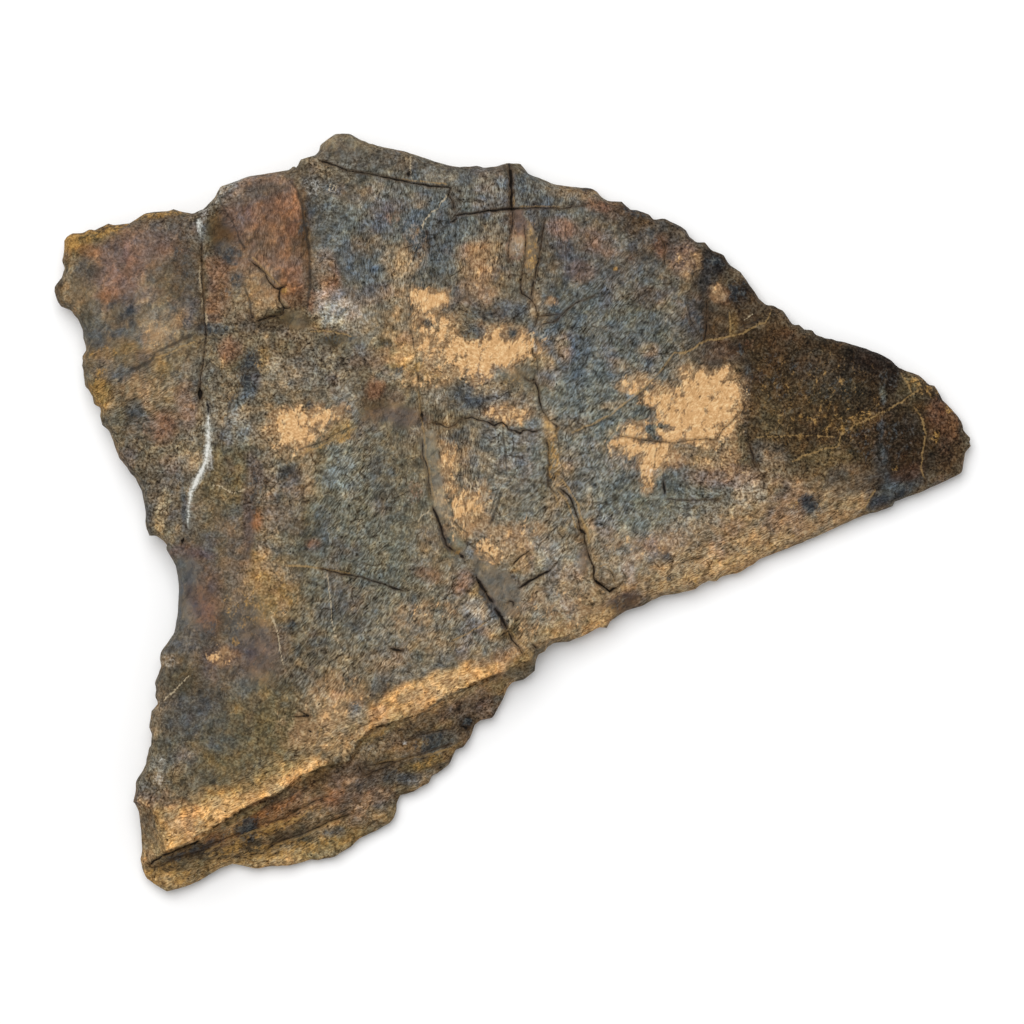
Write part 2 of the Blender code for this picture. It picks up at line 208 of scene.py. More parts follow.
# Dark thin lines that have hardly any depth: width in millimetres, then the places
DARK_LINES = [
    (0.9, [(503, 430), (504, 445), (505.5, 458), (507, 478)]),
    (1.5, [(502.4, 492), (499, 501), (496, 508.6), (490, 525)]),
    (1.0, [(498, 490), (494, 502), (491, 512)]),
    (0.5, [(410, 294.5), (411, 326.6), (415, 350), (417, 372.5), (419.2, 391), (421.8, 412)]),
    (0.7, [(536, 358), (538, 366), (537, 376)]), (0.6, [(558, 436), (560, 461), (564, 478)]),
    (0.6, [(560, 425), (568, 426), (575, 432)]), (0.8, [(588, 556), (592, 564), (594, 577)]),
    (1.0, [
        (455, 522), (461, 528), (467, 533), (467, 541), (472, 546), (478, 551), (488, 553), (495, 562)]),
    (0.7, [(496, 468), (492, 480)]), (1.0, [(599.4, 516.7), (612, 503), (626, 488), (639, 474)]),
    (0.8, [(597, 513), (610, 499), (623, 485), (635, 471.5)]),
    (0.6, [
        (572, 434.8), (590, 426.8), (608, 418.8), (625, 404.8), (640, 393.8), (660, 373.8), (674, 354.8)]),
    (0.6, [(650, 397), (650, 412), (653, 430), (656, 448), (654, 468)]),
    (0.6, [(546.6, 378.7), (556, 371), (567, 362.7)]),
    (1.6, [
        (291, 182), (298.7, 192.7), (302, 204.4), (304, 220), (307.8, 237), (310.4, 254), (310.4, 269),
        (310.4, 289), (308, 308)]),
    (1.2, [(245.5, 287.5), (250.6, 301.8), (252, 314.8), (255.8, 320)]),
    (1.2, [(217, 190), (222, 205), (235, 225), (240, 240), (246, 250)]),
    (2.2, [(194.5, 335), (183, 340), (170, 347), (157, 353), (149, 363.6), (131, 370)]),
    (1.4, [(288, 469), (293, 474), (297, 480)]), (0.9, [(300, 450), (318, 444), (337, 434), (355, 425)]),
    (1.0, [(685, 302), (690, 318), (697, 333)]), (1.0, [(740, 328), (750, 324), (760, 319)]),
    (0.9, [(235, 395), (230, 407), (228, 420)]),
]

# Ochre seams and veins that stand a little proud: width in millimetres, then the places
OCHRE_SEAMS = [
    (1.0, [(572, 433), (590, 425), (608, 417), (625, 403), (640, 392), (660, 372), (674, 353)]),
    (1.0, [
        (674, 353), (685, 353.5), (690, 351), (700, 343.8), (710.6, 340), (720, 339), (730, 336),
        (744, 332.7), (750, 330), (759, 323), (765, 323), (770, 316.6), (771, 310.8)]),
    (0.8, [
        (791.8, 461.7), (807, 455), (824.4, 449.3), (837.7, 446.4), (841.6, 433), (862.6, 421.6),
        (883.7, 412), (900.9, 402.4), (912.4, 394.8), (922, 387)]),
    (0.8, [(902.8, 373.7), (908.5, 383.3), (912, 393)]),
    (0.8, [(914.3, 406.3), (922, 417.7), (925.7, 433), (923, 452), (922, 467.5), (925.7, 479)]),
    (0.4, [(755, 437), (786, 436), (814.8, 435), (834, 437)]),
    (0.9, [(862.6, 511.5), (869, 500), (876, 489.5)]),
    (1.1, [(287, 565.5), (300, 565.5), (311.4, 566.5), (334, 570), (352, 573)]),
    (1.0, [(147.8, 360), (167, 355), (183, 346.5), (196, 342)]),
    (0.9, [(729.5, 312), (730.5, 324), (730, 335)]),
    (0.9, [(300, 454), (318, 448), (337, 438), (357, 428)]),
    (0.8, [(419, 392), (422, 420), (426, 452), (431, 480)]), (0.9, [(548, 436), (549, 452), (551, 470)]),
    (1.2, [(560, 478), (566, 486), (572, 495)]),
    (1.3, [(572, 495), (577.5, 504), (580, 514), (583, 524), (587.5, 533), (589, 543)]),
    (1.0, [(558, 491), (565, 499), (569, 506), (572, 516), (576, 528)]),
    (0.8, [(554, 493), (558, 503), (556, 508)]), (1.0, [(514, 197), (513.5, 204), (513, 209)]),
    (0.8, [(519, 207), (540, 206.8), (560, 207)]), (0.9, [(402, 180), (425, 182.5), (447, 185)]),
    (1.1, [(253, 258), (262, 267), (270, 276), (281, 287)]),
    (0.8, [(600, 566), (607, 564), (612, 572), (614, 582)]), (0.8, [(596, 577), (598, 569), (602, 566)]),
    (1.2, [(512, 632), (518, 640), (524, 645)]), (0.8, [(429, 466), (432, 486), (434, 500)]),
    (1.2, [(240, 836), (262, 828), (284, 824), (306, 815)]),
    (1.4, [(252, 858), (276, 846), (302, 837), (330, 823), (346, 816)]),
    (1.2, [(205, 852), (224, 842), (240, 838)]),
    (1.2, [(374, 764), (392, 760), (420, 757), (448, 750), (462, 742)]),
    (1.0, [(360, 738), (376, 733), (392, 726)]), (0.7, [(452, 640), (470, 632), (486, 622)]),
    (0.8, [(310, 332), (325, 331), (342, 334), (352, 337)]),
]

# Pale scratches and hairs: width in millimetres, then the places
PALE_LINES = [
    (0.7, [(410.5, 151), (410.8, 165), (411, 181)]), (1.0, [(201.2, 264), (200.9, 279), (202.2, 293)]),
    (1.2, [(203, 299), (203.6, 308)]), (1.4, [(206.8, 314), (207.5, 325)]),
    (0.9, [(531, 331), (531, 346)]), (1.0, [(509, 616), (510, 627)]),
    (0.8, [(448, 195), (442, 202), (437, 210), (430.6, 213.5), (424, 222.6), (423, 230)]),
    (0.9, [(534.5, 342), (533.5, 353)]), (0.7, [(744, 320), (753, 314)]), (0.7, [(329, 192), (331, 185)]),
    (0.7, [(332, 192.5), (334.5, 184.5)]), (0.7, [(335.5, 192), (337, 186)]),
    (1.1, [(201.5, 280), (202.4, 293)]),
    (0.6, [(328, 573), (332, 605), (332.7, 621), (340.8, 647.8), (349, 674)]),
    (0.7, [(466, 478), (471, 486), (470, 498)]), (0.6, [(471, 486), (480, 490), (483, 497)]),
    (0.6, [(476, 478), (480, 490)]), (0.6, [(272, 615), (279, 632), (281, 650), (285, 665)]),
    (0.7, [(165, 700), (175, 691), (183, 682), (190, 675)]), (0.6, [(431, 509), (424, 514), (418, 522)]),
    (0.6, [(447, 408), (448, 425), (446, 445)]),
    (0.8, [(213, 485), (222, 486.5), (230, 492), (238, 493), (246, 489)]),
]

# White lime washed along a crack, brightest in its middle
LIME_LINES = [
    (0.8, [(208.7, 403), (209.2, 415), (209.2, 430)]),
    (1.9, [(209.2, 428), (209, 442), (207.6, 455), (205.5, 466)]),
    (3.2, [(206.6, 461), (202.5, 471), (198.2, 480), (193.6, 489)]),
    (1.5, [(194.6, 486), (191.2, 496), (190.2, 506)]), (0.8, [(190.4, 503), (189.4, 514), (188.8, 526)]),
    (0.2, [(199.4, 221), (200.4, 228), (201.2, 236)]),
]

# The loose block at the foot of the rust plate
LOOSE_BLOCK = [
    (246, 276), (256, 270), (264, 271), (271, 280), (280, 292), (279, 302), (285, 309), (279, 314),
    (264, 317.5), (256, 318), (252, 309),
]
# Pieces between cracks that stand higher or lower: height and softness in millimetres, places
RAISED_PIECES = [
    (0.9, 1.2, LOOSE_BLOCK),
    (-0.9, 1.6, [
        (291, 182), (298.7, 192.7), (302, 204.4), (304, 220), (307.8, 237), (310.4, 254), (310.4, 289),
        (308, 308), (291, 310), (284, 300), (283, 290), (270, 277), (256, 268), (251, 257), (243, 245),
        (235, 225), (222, 205), (219, 190), (250, 178)]),
    (-1.0, 1.6, [
        (205, 213), (218, 206), (232, 225), (243, 245), (244, 258), (232, 262), (218, 252), (205, 245)]),
    (0.7, 1.6, [
        (318, 160), (338, 168), (360, 174), (395, 181), (425, 186.5), (450, 188), (452, 210), (480, 212.5),
        (509, 209.5), (506, 160), (450, 160), (380, 140), (340, 128), (315, 145)]),
    (-0.6, 1.4, [(514, 162), (515, 190), (514, 208), (545, 207.5), (585, 205), (600, 196), (545, 180)]),
    (-0.7, 1.0, [
        (524, 226), (526, 250), (522, 281), (524, 295), (531, 300), (535, 280), (540, 250), (545, 222)]),
    (-0.9, 1.2, [
        (548, 424), (546, 443), (550, 462), (549, 482), (554, 491), (566, 492), (566, 480), (560, 461),
        (557, 436)]),
    (0.5, 1.4, [(320, 287), (352, 291), (384, 300), (386, 318), (352, 334), (312, 328), (312, 303)]),
    (-0.7, 2.0, [(205, 330), (250, 330), (258, 350), (256, 395), (235, 396), (212, 372), (207, 345)]),
    (-1.0, 1.4, [(617.5, 592), (637.7, 598.7), (632, 610), (619.5, 616), (611, 620), (611.7, 606)]),
    (-0.5, 1.2, [(744, 372), (744, 408), (734, 437), (752, 470), (800, 470), (800, 330), (770, 330)]),
    (-0.6, 3.0, [(175, 555), (205, 552), (226, 575), (228, 620), (206, 645), (172, 640)]),
]

# Smooth channels: depth and half width in millimetres, then the places along the middle
CHANNELS = [
    (2.4, 4.8, [(430, 430), (435, 465), (441, 497), (449, 522), (459, 543)]),
    (1.5, 4.2, [(419, 372), (424, 400), (429, 432)]),
    (2.5, 7.0, [(459, 543), (472, 554), (492, 578), (503, 600), (511, 622), (517, 640)]),
    (0.9, 4.0, [(519, 212), (518, 225), (518, 238)]), (0.8, 5.0, [(203, 225), (203, 250)]),
    (0.7, 4.0, [(208, 415), (207, 440), (202, 470), (193, 492), (189, 522)]),
    (0.8, 7.0, [(194, 337), (165, 350), (138, 368)]), (0.7, 5.0, [(322, 826), (350, 812), (372, 797)]),
    (0.9, 9.0, [(300, 335), (330, 338), (352, 340), (390, 341)]),
    (0.8, 8.0, [(365, 412), (395, 418), (420, 422)]),
    (-0.9, 2.6, [(572, 433), (608, 417), (640, 392), (672, 356), (700, 344), (740, 333), (768, 320)]),
    (-0.8, 2.4, [(792, 461), (824, 449), (840, 440), (862, 422), (900, 402), (922, 387)]),
    (-0.7, 2.2, [(914, 406), (923, 425), (924, 452), (925, 478)]),
]

# The sharp edge where the front ends and the broken, layered side falls away, left to right
FRONT_EDGE = [
    (140, 801), (157, 814), (168, 850), (197, 837), (227, 818), (254, 803), (284, 789), (302, 774),
    (326, 765), (350, 761), (360, 740), (374, 727), (392, 722), (416, 714), (443, 699), (475, 683),
    (504, 672), (522, 663), (534, 659),
]

# Broad soft stains of the bone, with a few ovals of painted shade and painted highlight among
# them, laid one over another: colour, strength in percent, centre, half length, half width, and
# the turn in degrees of one that is turned
PAINT_COLOURS = {
    "earth": "#72644f", "slate": "#5f625f", "steel": "#4e5254", "lichen": "#6d6a5c", "shale": "#73766f",
    "smoke": "#5a5249", "grey": "#7a7264", "stone": "#8b8375", "ash": "#98948a", "brown": "#7c6851",
    "bark": "#4d4033", "fawn": "#96856e", "sand": "#937a5b", "tan": "#a98b66", "straw": "#bb9a6b",
    "gold": "#a8844e", "honey": "#92764a", "ochre": "#85693c", "olive": "#6a5d41", "moss": "#4a3f28",
    "rust": "#84593e", "copper": "#925f37", "brick": "#6c4a38", "rose": "#86695b", "dusk": "#62534d",
    "umber": "#4b3823", "peat": "#352614", "pitch": "#20160d", "ink": "#3a3c3e", "wheat": "#e8b273",
    "putty": "#b4ac9b", "clay": "#86604a", "silt": "#6e665b",
}
# First large washes over the whole piece
WASHES = [
    ("slate", 85, 400, 232, 110, 62, 5), ("slate", 60, 520, 205, 70, 30, -5),
    ("slate", 90, 612, 325, 85, 62, -10), ("shale", 85, 595, 440, 75, 75),
    ("shale", 80, 660, 510, 70, 32, 10), ("grey", 80, 515, 500, 60, 90),
    ("lichen", 85, 360, 540, 75, 110, 10), ("grey", 80, 430, 630, 80, 40, 15),
    ("smoke", 70, 600, 245, 90, 38, -15), ("smoke", 80, 205, 690, 55, 60),
    ("olive", 80, 235, 740, 70, 40, 20), ("umber", 90, 740, 330, 50, 60), ("moss", 100, 800, 410, 80, 62),
    # the bark wash at 660, 232, turned along the top-right edge, is painted shade on that edge
    ("umber", 80, 860, 440, 80, 60), ("bark", 80, 660, 232, 60, 22, -28),
    ("umber", 70, 835, 375, 70, 45, 10), ("peat", 80, 880, 425, 70, 60), ("peat", 50, 770, 350, 40, 40),
    ("sand", 85, 730, 530, 130, 26, 21), ("tan", 90, 700, 565, 110, 15, 21),
]
# Then areas with a clear edge: colour, softness of the edge in pixels, strength and outline
AREAS = [
    # the rust plate, and the loose block at its foot
    ("clay", 1.6, 0.6, [
        (219, 190), (250, 178), (291, 182), (299, 193), (302, 204), (304, 220), (308, 237), (310, 254),
        (310, 289), (308, 308), (291, 310), (284, 300), (270, 277), (256, 268), (251, 257), (243, 245),
        (235, 225), (222, 205)]),
    ("sand", 1.6, 0.75, LOOSE_BLOCK),
    ("clay", 2.0, 0.5, [
        (205, 254), (222, 254), (236, 264), (232, 282), (225, 300), (224, 322), (206, 322)]),
    ("moss", 3.0, 0.8, [(206, 213), (217, 207), (229, 222), (232, 236), (222, 247), (206, 246)]),
    ("ink", 2.0, 0.75, [
        (216, 203), (226, 216), (238, 230), (245, 250), (243, 260), (230, 258), (220, 248), (232, 238),
        (228, 222)]),
    ("ink", 2.0, 0.6, [(238, 272), (246, 272), (248, 284), (240, 288), (236, 280)]),
    ("putty", 4.0, 0.6, [
        (318, 288), (334, 290), (352, 302), (366, 314), (362, 326), (348, 330), (326, 326), (314, 322),
        (313, 302)]),
    ("bark", 2.0, 0.5, [
        (300, 184), (312, 190), (316, 215), (314, 250), (316, 300), (311, 308), (309, 250), (303, 205)]),
    # right of the sharp boundary beside the large tan patch
    ("umber", 3.0, 0.6, [(744, 366), (746, 408), (744, 440), (756, 470), (790, 450), (780, 360)]),
    # the golden bands behind the sharp edge
    ("gold", 7.0, 0.5, [
        (160, 808), (200, 796), (240, 778), (280, 760), (322, 757), (326, 765), (302, 774), (284, 789),
        (254, 803), (227, 818), (197, 837), (168, 850), (160, 830)]),
    ("gold", 7.0, 0.5, [
        (345, 735), (352, 712), (380, 698), (412, 683), (450, 668), (490, 657), (528, 648), (534, 659),
        (504, 672), (475, 683), (443, 699), (416, 714), (392, 722), (374, 727), (360, 740)]),
    ("wheat", 5.0, 0.95, [
        (160, 832), (168, 850), (197, 837), (227, 818), (254, 803), (284, 789), (326, 764), (318, 758),
        (285, 770), (250, 787), (215, 802), (190, 812), (164, 818)]),
    ("wheat", 5.0, 0.95, [
        (366, 722), (392, 719), (416, 712), (443, 699), (475, 683), (504, 670), (508, 657), (486, 659),
        (466, 662), (452, 670), (436, 671), (420, 681), (404, 682), (384, 697)]),
    ("tan", 6.0, 0.7, [
        (306, 684), (330, 690), (352, 702), (348, 728), (330, 744), (322, 728), (316, 702)]),
    # the dark purple piece at the lower edge
    ("ink", 1.6, 0.8, [
        (613, 598), (618, 594), (638, 600), (631, 608), (620, 616), (610, 622), (606, 612)]),
]
# Then smaller ovals
STAINS_AND_PAINTED_LIGHT = [
    # the left lobe
    ("brown", 60, 110, 280, 50, 50), ("rose", 80, 122, 262, 30, 26, 10), ("rose", 60, 150, 240, 25, 18),
    ("dusk", 70, 164, 252, 12, 14), ("bark", 75, 183, 262, 11, 45), ("dusk", 80, 111, 249, 9, 7, 20),
    ("copper", 40, 112, 293, 13, 7, 10), ("copper", 25, 134, 268, 10, 8),
    ("smoke", 85, 128, 316, 12, 20, -20), ("smoke", 50, 100, 333, 22, 12),
    ("fawn", 75, 156, 330, 14, 18, -20), ("grey", 60, 148, 298, 12, 14), ("stone", 30, 150, 285, 8, 12),
    ("ochre", 90, 84, 240, 30, 10, 15), ("honey", 80, 70, 243, 9, 8), ("ochre", 70, 150, 215, 40, 5, 10),
    ("ochre", 60, 71, 258, 8, 12), ("smoke", 70, 80, 265, 12, 7, -20), ("sand", 70, 68, 289, 8, 10),
    ("umber", 60, 58, 288, 6, 14), ("honey", 50, 112, 353, 34, 5, 6),
    # below the left lobe
    ("smoke", 40, 88, 345, 12, 20), ("honey", 60, 165, 365, 9, 8), ("tan", 50, 165, 387, 20, 11, 10),
    ("ochre", 90, 100, 395, 11, 24, -10), ("steel", 70, 136, 412, 8, 10), ("brick", 70, 162, 425, 15, 17),
    ("smoke", 50, 135, 440, 10, 20), ("rose", 50, 188, 405, 12, 22), ("smoke", 40, 150, 490, 12, 30),
    ("grey", 50, 190, 455, 14, 30), ("olive", 70, 235, 470, 26, 34), ("smoke", 70, 200, 392, 7, 12),
    ("brown", 50, 170, 500, 18, 24), ("smoke", 50, 215, 540, 30, 14),
    # the rust plate and what is round it
    ("clay", 90, 268, 235, 38, 50, 3), ("rose", 60, 246, 215, 14, 24, -15),
    ("copper", 40, 285, 232, 16, 40, 3), ("bark", 60, 299, 262, 9, 44, 3), ("sand", 60, 258, 284, 15, 18),
    ("copper", 50, 290, 285, 12, 14), ("ash", 80, 230, 193, 15, 9, 35), ("rose", 50, 255, 182, 20, 6, 12),
    ("umber", 85, 222, 232, 12, 30, -5), ("steel", 60, 230, 250, 14, 10, -20),
    ("steel", 50, 200, 222, 6, 18), ("umber", 80, 308, 235, 6, 55), ("ink", 70, 316, 205, 7, 12),
    ("rust", 70, 221, 288, 14, 25), ("copper", 50, 214, 304, 10, 8), ("umber", 60, 199, 290, 5, 50),
    # the moss oval at 277, 320 is painted shadow: a dark band under the lower edge of the raised loose
    # block
    ("steel", 60, 240, 278, 6, 9), ("moss", 90, 277, 320, 17, 9, -5), ("umber", 50, 300, 305, 8, 10),
    ("brown", 50, 238, 315, 12, 10), ("steel", 80, 214, 329, 16, 6), ("rust", 60, 231, 350, 11, 12),
    ("ink", 75, 250, 374, 8, 24, -6), ("honey", 60, 264, 358, 6, 14), ("brown", 50, 248, 330, 10, 6),
    # the top, from the knob to the main crack
    ("grey", 50, 345, 147, 26, 12), ("slate", 50, 364, 165, 30, 14, -10),
    ("smoke", 70, 395, 162, 60, 9, -8), ("ash", 50, 333, 188, 8, 6), ("brown", 60, 355, 193, 16, 8),
    ("dusk", 60, 395, 206, 12, 9), ("stone", 60, 437, 173, 18, 6, -6), ("steel", 50, 430, 200, 14, 8),
    ("smoke", 60, 455, 205, 8, 18), ("stone", 50, 490, 190, 14, 8), ("bark", 80, 511, 200, 5, 34),
    ("steel", 60, 522, 180, 14, 14),
    # the upper middle
    ("steel", 50, 350, 262, 22, 16), ("brown", 60, 372, 246, 16, 12), ("tan", 70, 402, 264, 14, 16),
    ("tan", 50, 396, 300, 12, 18), ("sand", 70, 385, 325, 14, 14), ("steel", 70, 438, 245, 18, 28),
    ("steel", 80, 452, 300, 10, 14), ("sand", 85, 480, 263, 22, 32, -8), ("rust", 50, 476, 260, 14, 20),
    ("tan", 50, 490, 300, 10, 12), ("steel", 60, 505, 312, 30, 10), ("tan", 80, 518, 246, 9, 12),
    ("bark", 50, 535, 235, 6, 34), ("ash", 90, 331, 307, 17, 15), ("honey", 70, 316, 322, 8, 8),
    ("fawn", 70, 365, 318, 20, 13, -20), ("moss", 80, 338, 341, 18, 5), ("moss", 80, 388, 341, 12, 6),
    ("honey", 70, 405, 372, 34, 12, 10), ("olive", 50, 365, 350, 22, 8),
    # the middle, left of the filled valley
    ("fawn", 70, 284, 370, 20, 18), ("grey", 60, 320, 372, 16, 26), ("umber", 60, 376, 400, 16, 20),
    ("rust", 50, 377, 388, 8, 12), ("dusk", 70, 405, 418, 22, 9), ("honey", 70, 342, 431, 14, 9, 15),
    ("tan", 50, 290, 440, 24, 14, 10), ("shale", 70, 343, 465, 15, 28), ("tan", 50, 305, 488, 12, 16),
    ("dusk", 70, 294, 474, 9, 9), ("brown", 60, 262, 500, 14, 40), ("dusk", 40, 250, 500, 7, 26),
    ("steel", 40, 334, 555, 12, 34, 8), ("moss", 40, 305, 535, 18, 24), ("smoke", 40, 385, 490, 15, 34),
    ("smoke", 50, 350, 600, 26, 22), ("rust", 40, 312, 546, 8, 7),
    # the centre
    ("steel", 70, 470, 395, 26, 12), ("sand", 50, 453, 465, 14, 16), ("steel", 50, 458, 440, 12, 10),
    ("tan", 80, 511, 412, 24, 9), ("rose", 50, 500, 415, 12, 6), ("tan", 70, 548, 427, 8, 18),
    ("shale", 60, 520, 455, 26, 22), ("tan", 80, 470, 515, 13, 26, -30), ("tan", 70, 515, 543, 28, 18),
    ("sand", 60, 560, 490, 9, 40, -15), ("umber", 80, 583, 532, 7, 12, -20),
    ("olive", 80, 455, 541, 8, 17, -35), ("dusk", 80, 499, 596, 14, 24, -32),
    ("moss", 80, 513, 628, 6, 15, -20), ("rose", 60, 464, 582, 14, 12), ("sand", 50, 445, 566, 8, 10),
    ("fawn", 85, 560, 590, 42, 20, 15), ("rose", 40, 572, 570, 20, 9), ("dusk", 40, 583, 556, 7, 14),
    ("tan", 90, 558, 630, 46, 9, 18), ("tan", 60, 510, 654, 24, 6, 18), ("grey", 50, 480, 640, 26, 16),
    # right of the main crack
    ("steel", 40, 570, 345, 22, 26), ("tan", 70, 632, 382, 14, 9), ("slate", 50, 590, 400, 30, 26),
    ("stone", 30, 600, 465, 34, 26), ("slate", 70, 675, 483, 20, 12), ("rose", 60, 725, 478, 34, 12),
    ("sand", 60, 700, 455, 32, 14), ("stone", 70, 650, 545, 44, 13, 10), ("rose", 30, 660, 540, 26, 9, 10),
    ("dusk", 60, 668, 553, 7, 7), ("fawn", 80, 622, 568, 36, 16, 10), ("sand", 70, 640, 585, 40, 8, 20),
    ("ink", 90, 624, 603, 16, 8, 20), ("bark", 50, 604, 584, 6, 10), ("tan", 80, 800, 535, 66, 12, 22),
    ("tan", 80, 856, 498, 13, 9), ("sand", 80, 798, 492, 14, 10), ("sand", 40, 755, 508, 22, 9, 10),
    ("ink", 80, 812, 508, 13, 11), ("steel", 40, 770, 495, 14, 7), ("straw", 50, 700, 572, 60, 6, 21),
    # the upper right
    ("brown", 70, 575, 192, 26, 7, -8), ("rose", 70, 562, 228, 14, 10), ("ink", 70, 566, 252, 13, 10),
    ("rose", 60, 602, 244, 18, 12, -10), ("brick", 50, 598, 207, 14, 6, -10),
    # the umber oval at 635, 214 and the pitch ovals at 712, 264 and 741, 292, along the top-right edge,
    # are painted shade on that edge
    ("umber", 70, 635, 214, 22, 9, -25), ("bark", 60, 640, 248, 18, 9), ("rust", 50, 663, 246, 7, 12),
    ("rose", 50, 683, 259, 12, 16), ("pitch", 100, 712, 264, 17, 14, -20),
    ("pitch", 85, 741, 292, 10, 14, -30), ("peat", 60, 700, 300, 12, 24), ("rust", 70, 720, 292, 9, 9),
    ("sand", 60, 720, 293, 6, 7), ("lichen", 40, 640, 305, 30, 30), ("steel", 50, 690, 320, 14, 24),
    ("dusk", 30, 722, 352, 22, 14), ("peat", 60, 746, 345, 9, 12), ("sand", 60, 762, 326, 7, 5),
    ("ochre", 40, 733, 325, 5, 14),
    # the tip
    ("umber", 70, 790, 345, 26, 14, -20), ("pitch", 70, 850, 350, 34, 10, -18),
    # the steel oval at 836, 386 is a painted highlight: a pale blue-grey glint on the dark tip
    ("pitch", 95, 878, 372, 20, 17, -20), ("steel", 40, 836, 386, 12, 9), ("ink", 50, 745, 395, 7, 30),
    ("olive", 30, 765, 420, 18, 24), ("olive", 80, 908, 396, 18, 15, -40), ("rust", 70, 936, 415, 12, 15),
    ("brick", 50, 950, 440, 9, 22), ("peat", 70, 912, 450, 16, 26), ("ink", 60, 882, 462, 8, 20),
    ("steel", 50, 768, 455, 18, 12), ("olive", 50, 830, 455, 26, 12), ("ink", 90, 890, 492, 34, 12, 22),
    ("olive", 30, 835, 475, 16, 10),
    # the lower left
    ("rose", 50, 190, 553, 24, 6), ("dusk", 80, 190, 600, 12, 40), ("brick", 60, 214, 604, 14, 32),
    ("steel", 40, 205, 630, 12, 10), ("brown", 60, 244, 590, 12, 40), ("honey", 80, 276, 592, 24, 34, 10),
    ("grey", 60, 271, 568, 8, 9), ("brown", 50, 283, 628, 8, 20), ("dusk", 70, 258, 650, 26, 26),
    ("rust", 50, 220, 655, 18, 9, 10), ("moss", 60, 182, 680, 18, 16), ("tan", 40, 168, 660, 12, 6),
    ("steel", 55, 196, 716, 28, 22), ("moss", 50, 208, 745, 18, 14), ("olive", 60, 275, 715, 28, 34),
    ("steel", 50, 293, 628, 8, 8), ("stone", 60, 162, 766, 8, 12), ("smoke", 60, 152, 792, 14, 8),
    ("smoke", 40, 285, 675, 20, 14),
    # the light band above the front's sharp edge
    ("gold", 40, 240, 792, 80, 10, 26), ("gold", 50, 165, 826, 14, 16, 60),
    ("wheat", 50, 200, 818, 36, 9, 36), ("tan", 80, 332, 700, 18, 14), ("stone", 70, 358, 712, 9, 13),
    ("tan", 80, 338, 738, 16, 16, 30), ("sand", 50, 305, 738, 16, 16), ("wheat", 60, 420, 697, 50, 11, 22),
    ("wheat", 60, 474, 676, 24, 9, 24), ("fawn", 40, 390, 672, 20, 10),
    # the left lobe again, closer up
    ("dusk", 30, 140, 262, 45, 32, 10), ("dusk", 60, 168, 230, 24, 14), ("fawn", 60, 168, 325, 26, 15, 30),
    ("smoke", 80, 84, 270, 10, 9), ("slate", 50, 94, 325, 14, 22), ("ink", 80, 112, 303, 7, 4, 30),
    ("ink", 50, 122, 297, 10, 4), ("ink", 80, 133, 306, 4, 9, -15), ("ink", 80, 136, 324, 4, 8),
    ("steel", 60, 124, 334, 12, 5), ("copper", 25, 167, 250, 9, 6), ("smoke", 50, 190, 290, 8, 40),
    # either side of the white streak, and the smooth band beside it
    ("steel", 80, 186, 508, 4, 22, 5), ("ink", 80, 252, 388, 7, 7), ("slate", 70, 240, 402, 5, 22, -25),
    ("dusk", 70, 256, 470, 7, 18, 15), ("dusk", 75, 249, 525, 6, 36, 3), ("slate", 60, 236, 512, 6, 10),
    ("ink", 80, 286, 471, 11, 6, 40), ("gold", 90, 303, 487, 4, 3), ("sand", 50, 262, 430, 12, 20),
    # the tip, segment by segment
    ("peat", 80, 850, 370, 60, 24, -15), ("peat", 70, 903, 445, 18, 34),
    ("pitch", 90, 890, 382, 9, 14, 10), ("umber", 60, 945, 430, 22, 46, 15),
    ("copper", 40, 936, 424, 10, 16, 15), ("umber", 70, 952, 450, 12, 24), ("slate", 70, 909, 420, 7, 8),
    # the four narrow upright streaks of shale and steel on this line and the next are painted highlights:
    # pale blue-grey glints down a glossy ridge of the dark tip
    ("shale", 80, 881, 397, 2.4, 9, 10), ("steel", 60, 883, 430, 2.6, 9, 3),
    ("steel", 70, 885, 454, 3, 9, -5), ("steel", 60, 887, 476, 3.4, 7, 5),
    ("slate", 70, 893, 487, 14, 8, 20), ("ink", 80, 873, 500, 8, 9), ("moss", 50, 835, 402, 32, 24),
    ("ochre", 50, 865, 422, 18, 7, 22), ("olive", 70, 912, 377, 12, 6, -30),
    ("tan", 50, 828, 503, 42, 12, 22), ("ink", 80, 810, 502, 9, 10), ("pitch", 70, 880, 364, 30, 12, -25),
    ("peat", 55, 925, 425, 30, 34), ("ink", 40, 862, 482, 22, 9, 20), ("tan", 50, 825, 514, 34, 9, 22),
    ("sand", 45, 772, 478, 13, 30), ("dusk", 75, 240, 212, 17, 16), ("smoke", 60, 254, 196, 30, 8, 12),
    ("dusk", 40, 272, 212, 18, 12), ("rose", 50, 232, 192, 12, 6, 20), ("copper", 60, 258, 522, 6, 11),
    ("gold", 50, 262, 556, 10, 9), ("brick", 60, 188, 552, 17, 9), ("dusk", 60, 624, 602, 18, 10, 20),
    # single spots, each set against the picture
    ("slate", 50, 388, 373, 15, 8), ("straw", 50, 590, 532, 8, 14, -15), ("slate", 50, 670, 527, 15, 9),
    ("slate", 40, 674, 556, 9, 8), ("ink", 50, 634, 602, 10, 6, 20), ("olive", 60, 292, 496, 12, 8),
    ("smoke", 50, 302, 362, 16, 14), ("bark", 70, 311, 296, 5, 18), ("moss", 50, 319, 244, 9, 16),
    ("steel", 50, 187, 311, 11, 14), ("slate", 40, 146, 428, 12, 11), ("steel", 50, 149, 516, 6, 10),
    ("dusk", 40, 238, 560, 12, 30), ("slate", 40, 270, 550, 12, 9), ("stone", 40, 182, 574, 8, 12),
    ("wheat", 50, 364, 729, 18, 5, 30), ("umber", 40, 476, 168, 26, 6), ("sand", 50, 520, 168, 9, 5),
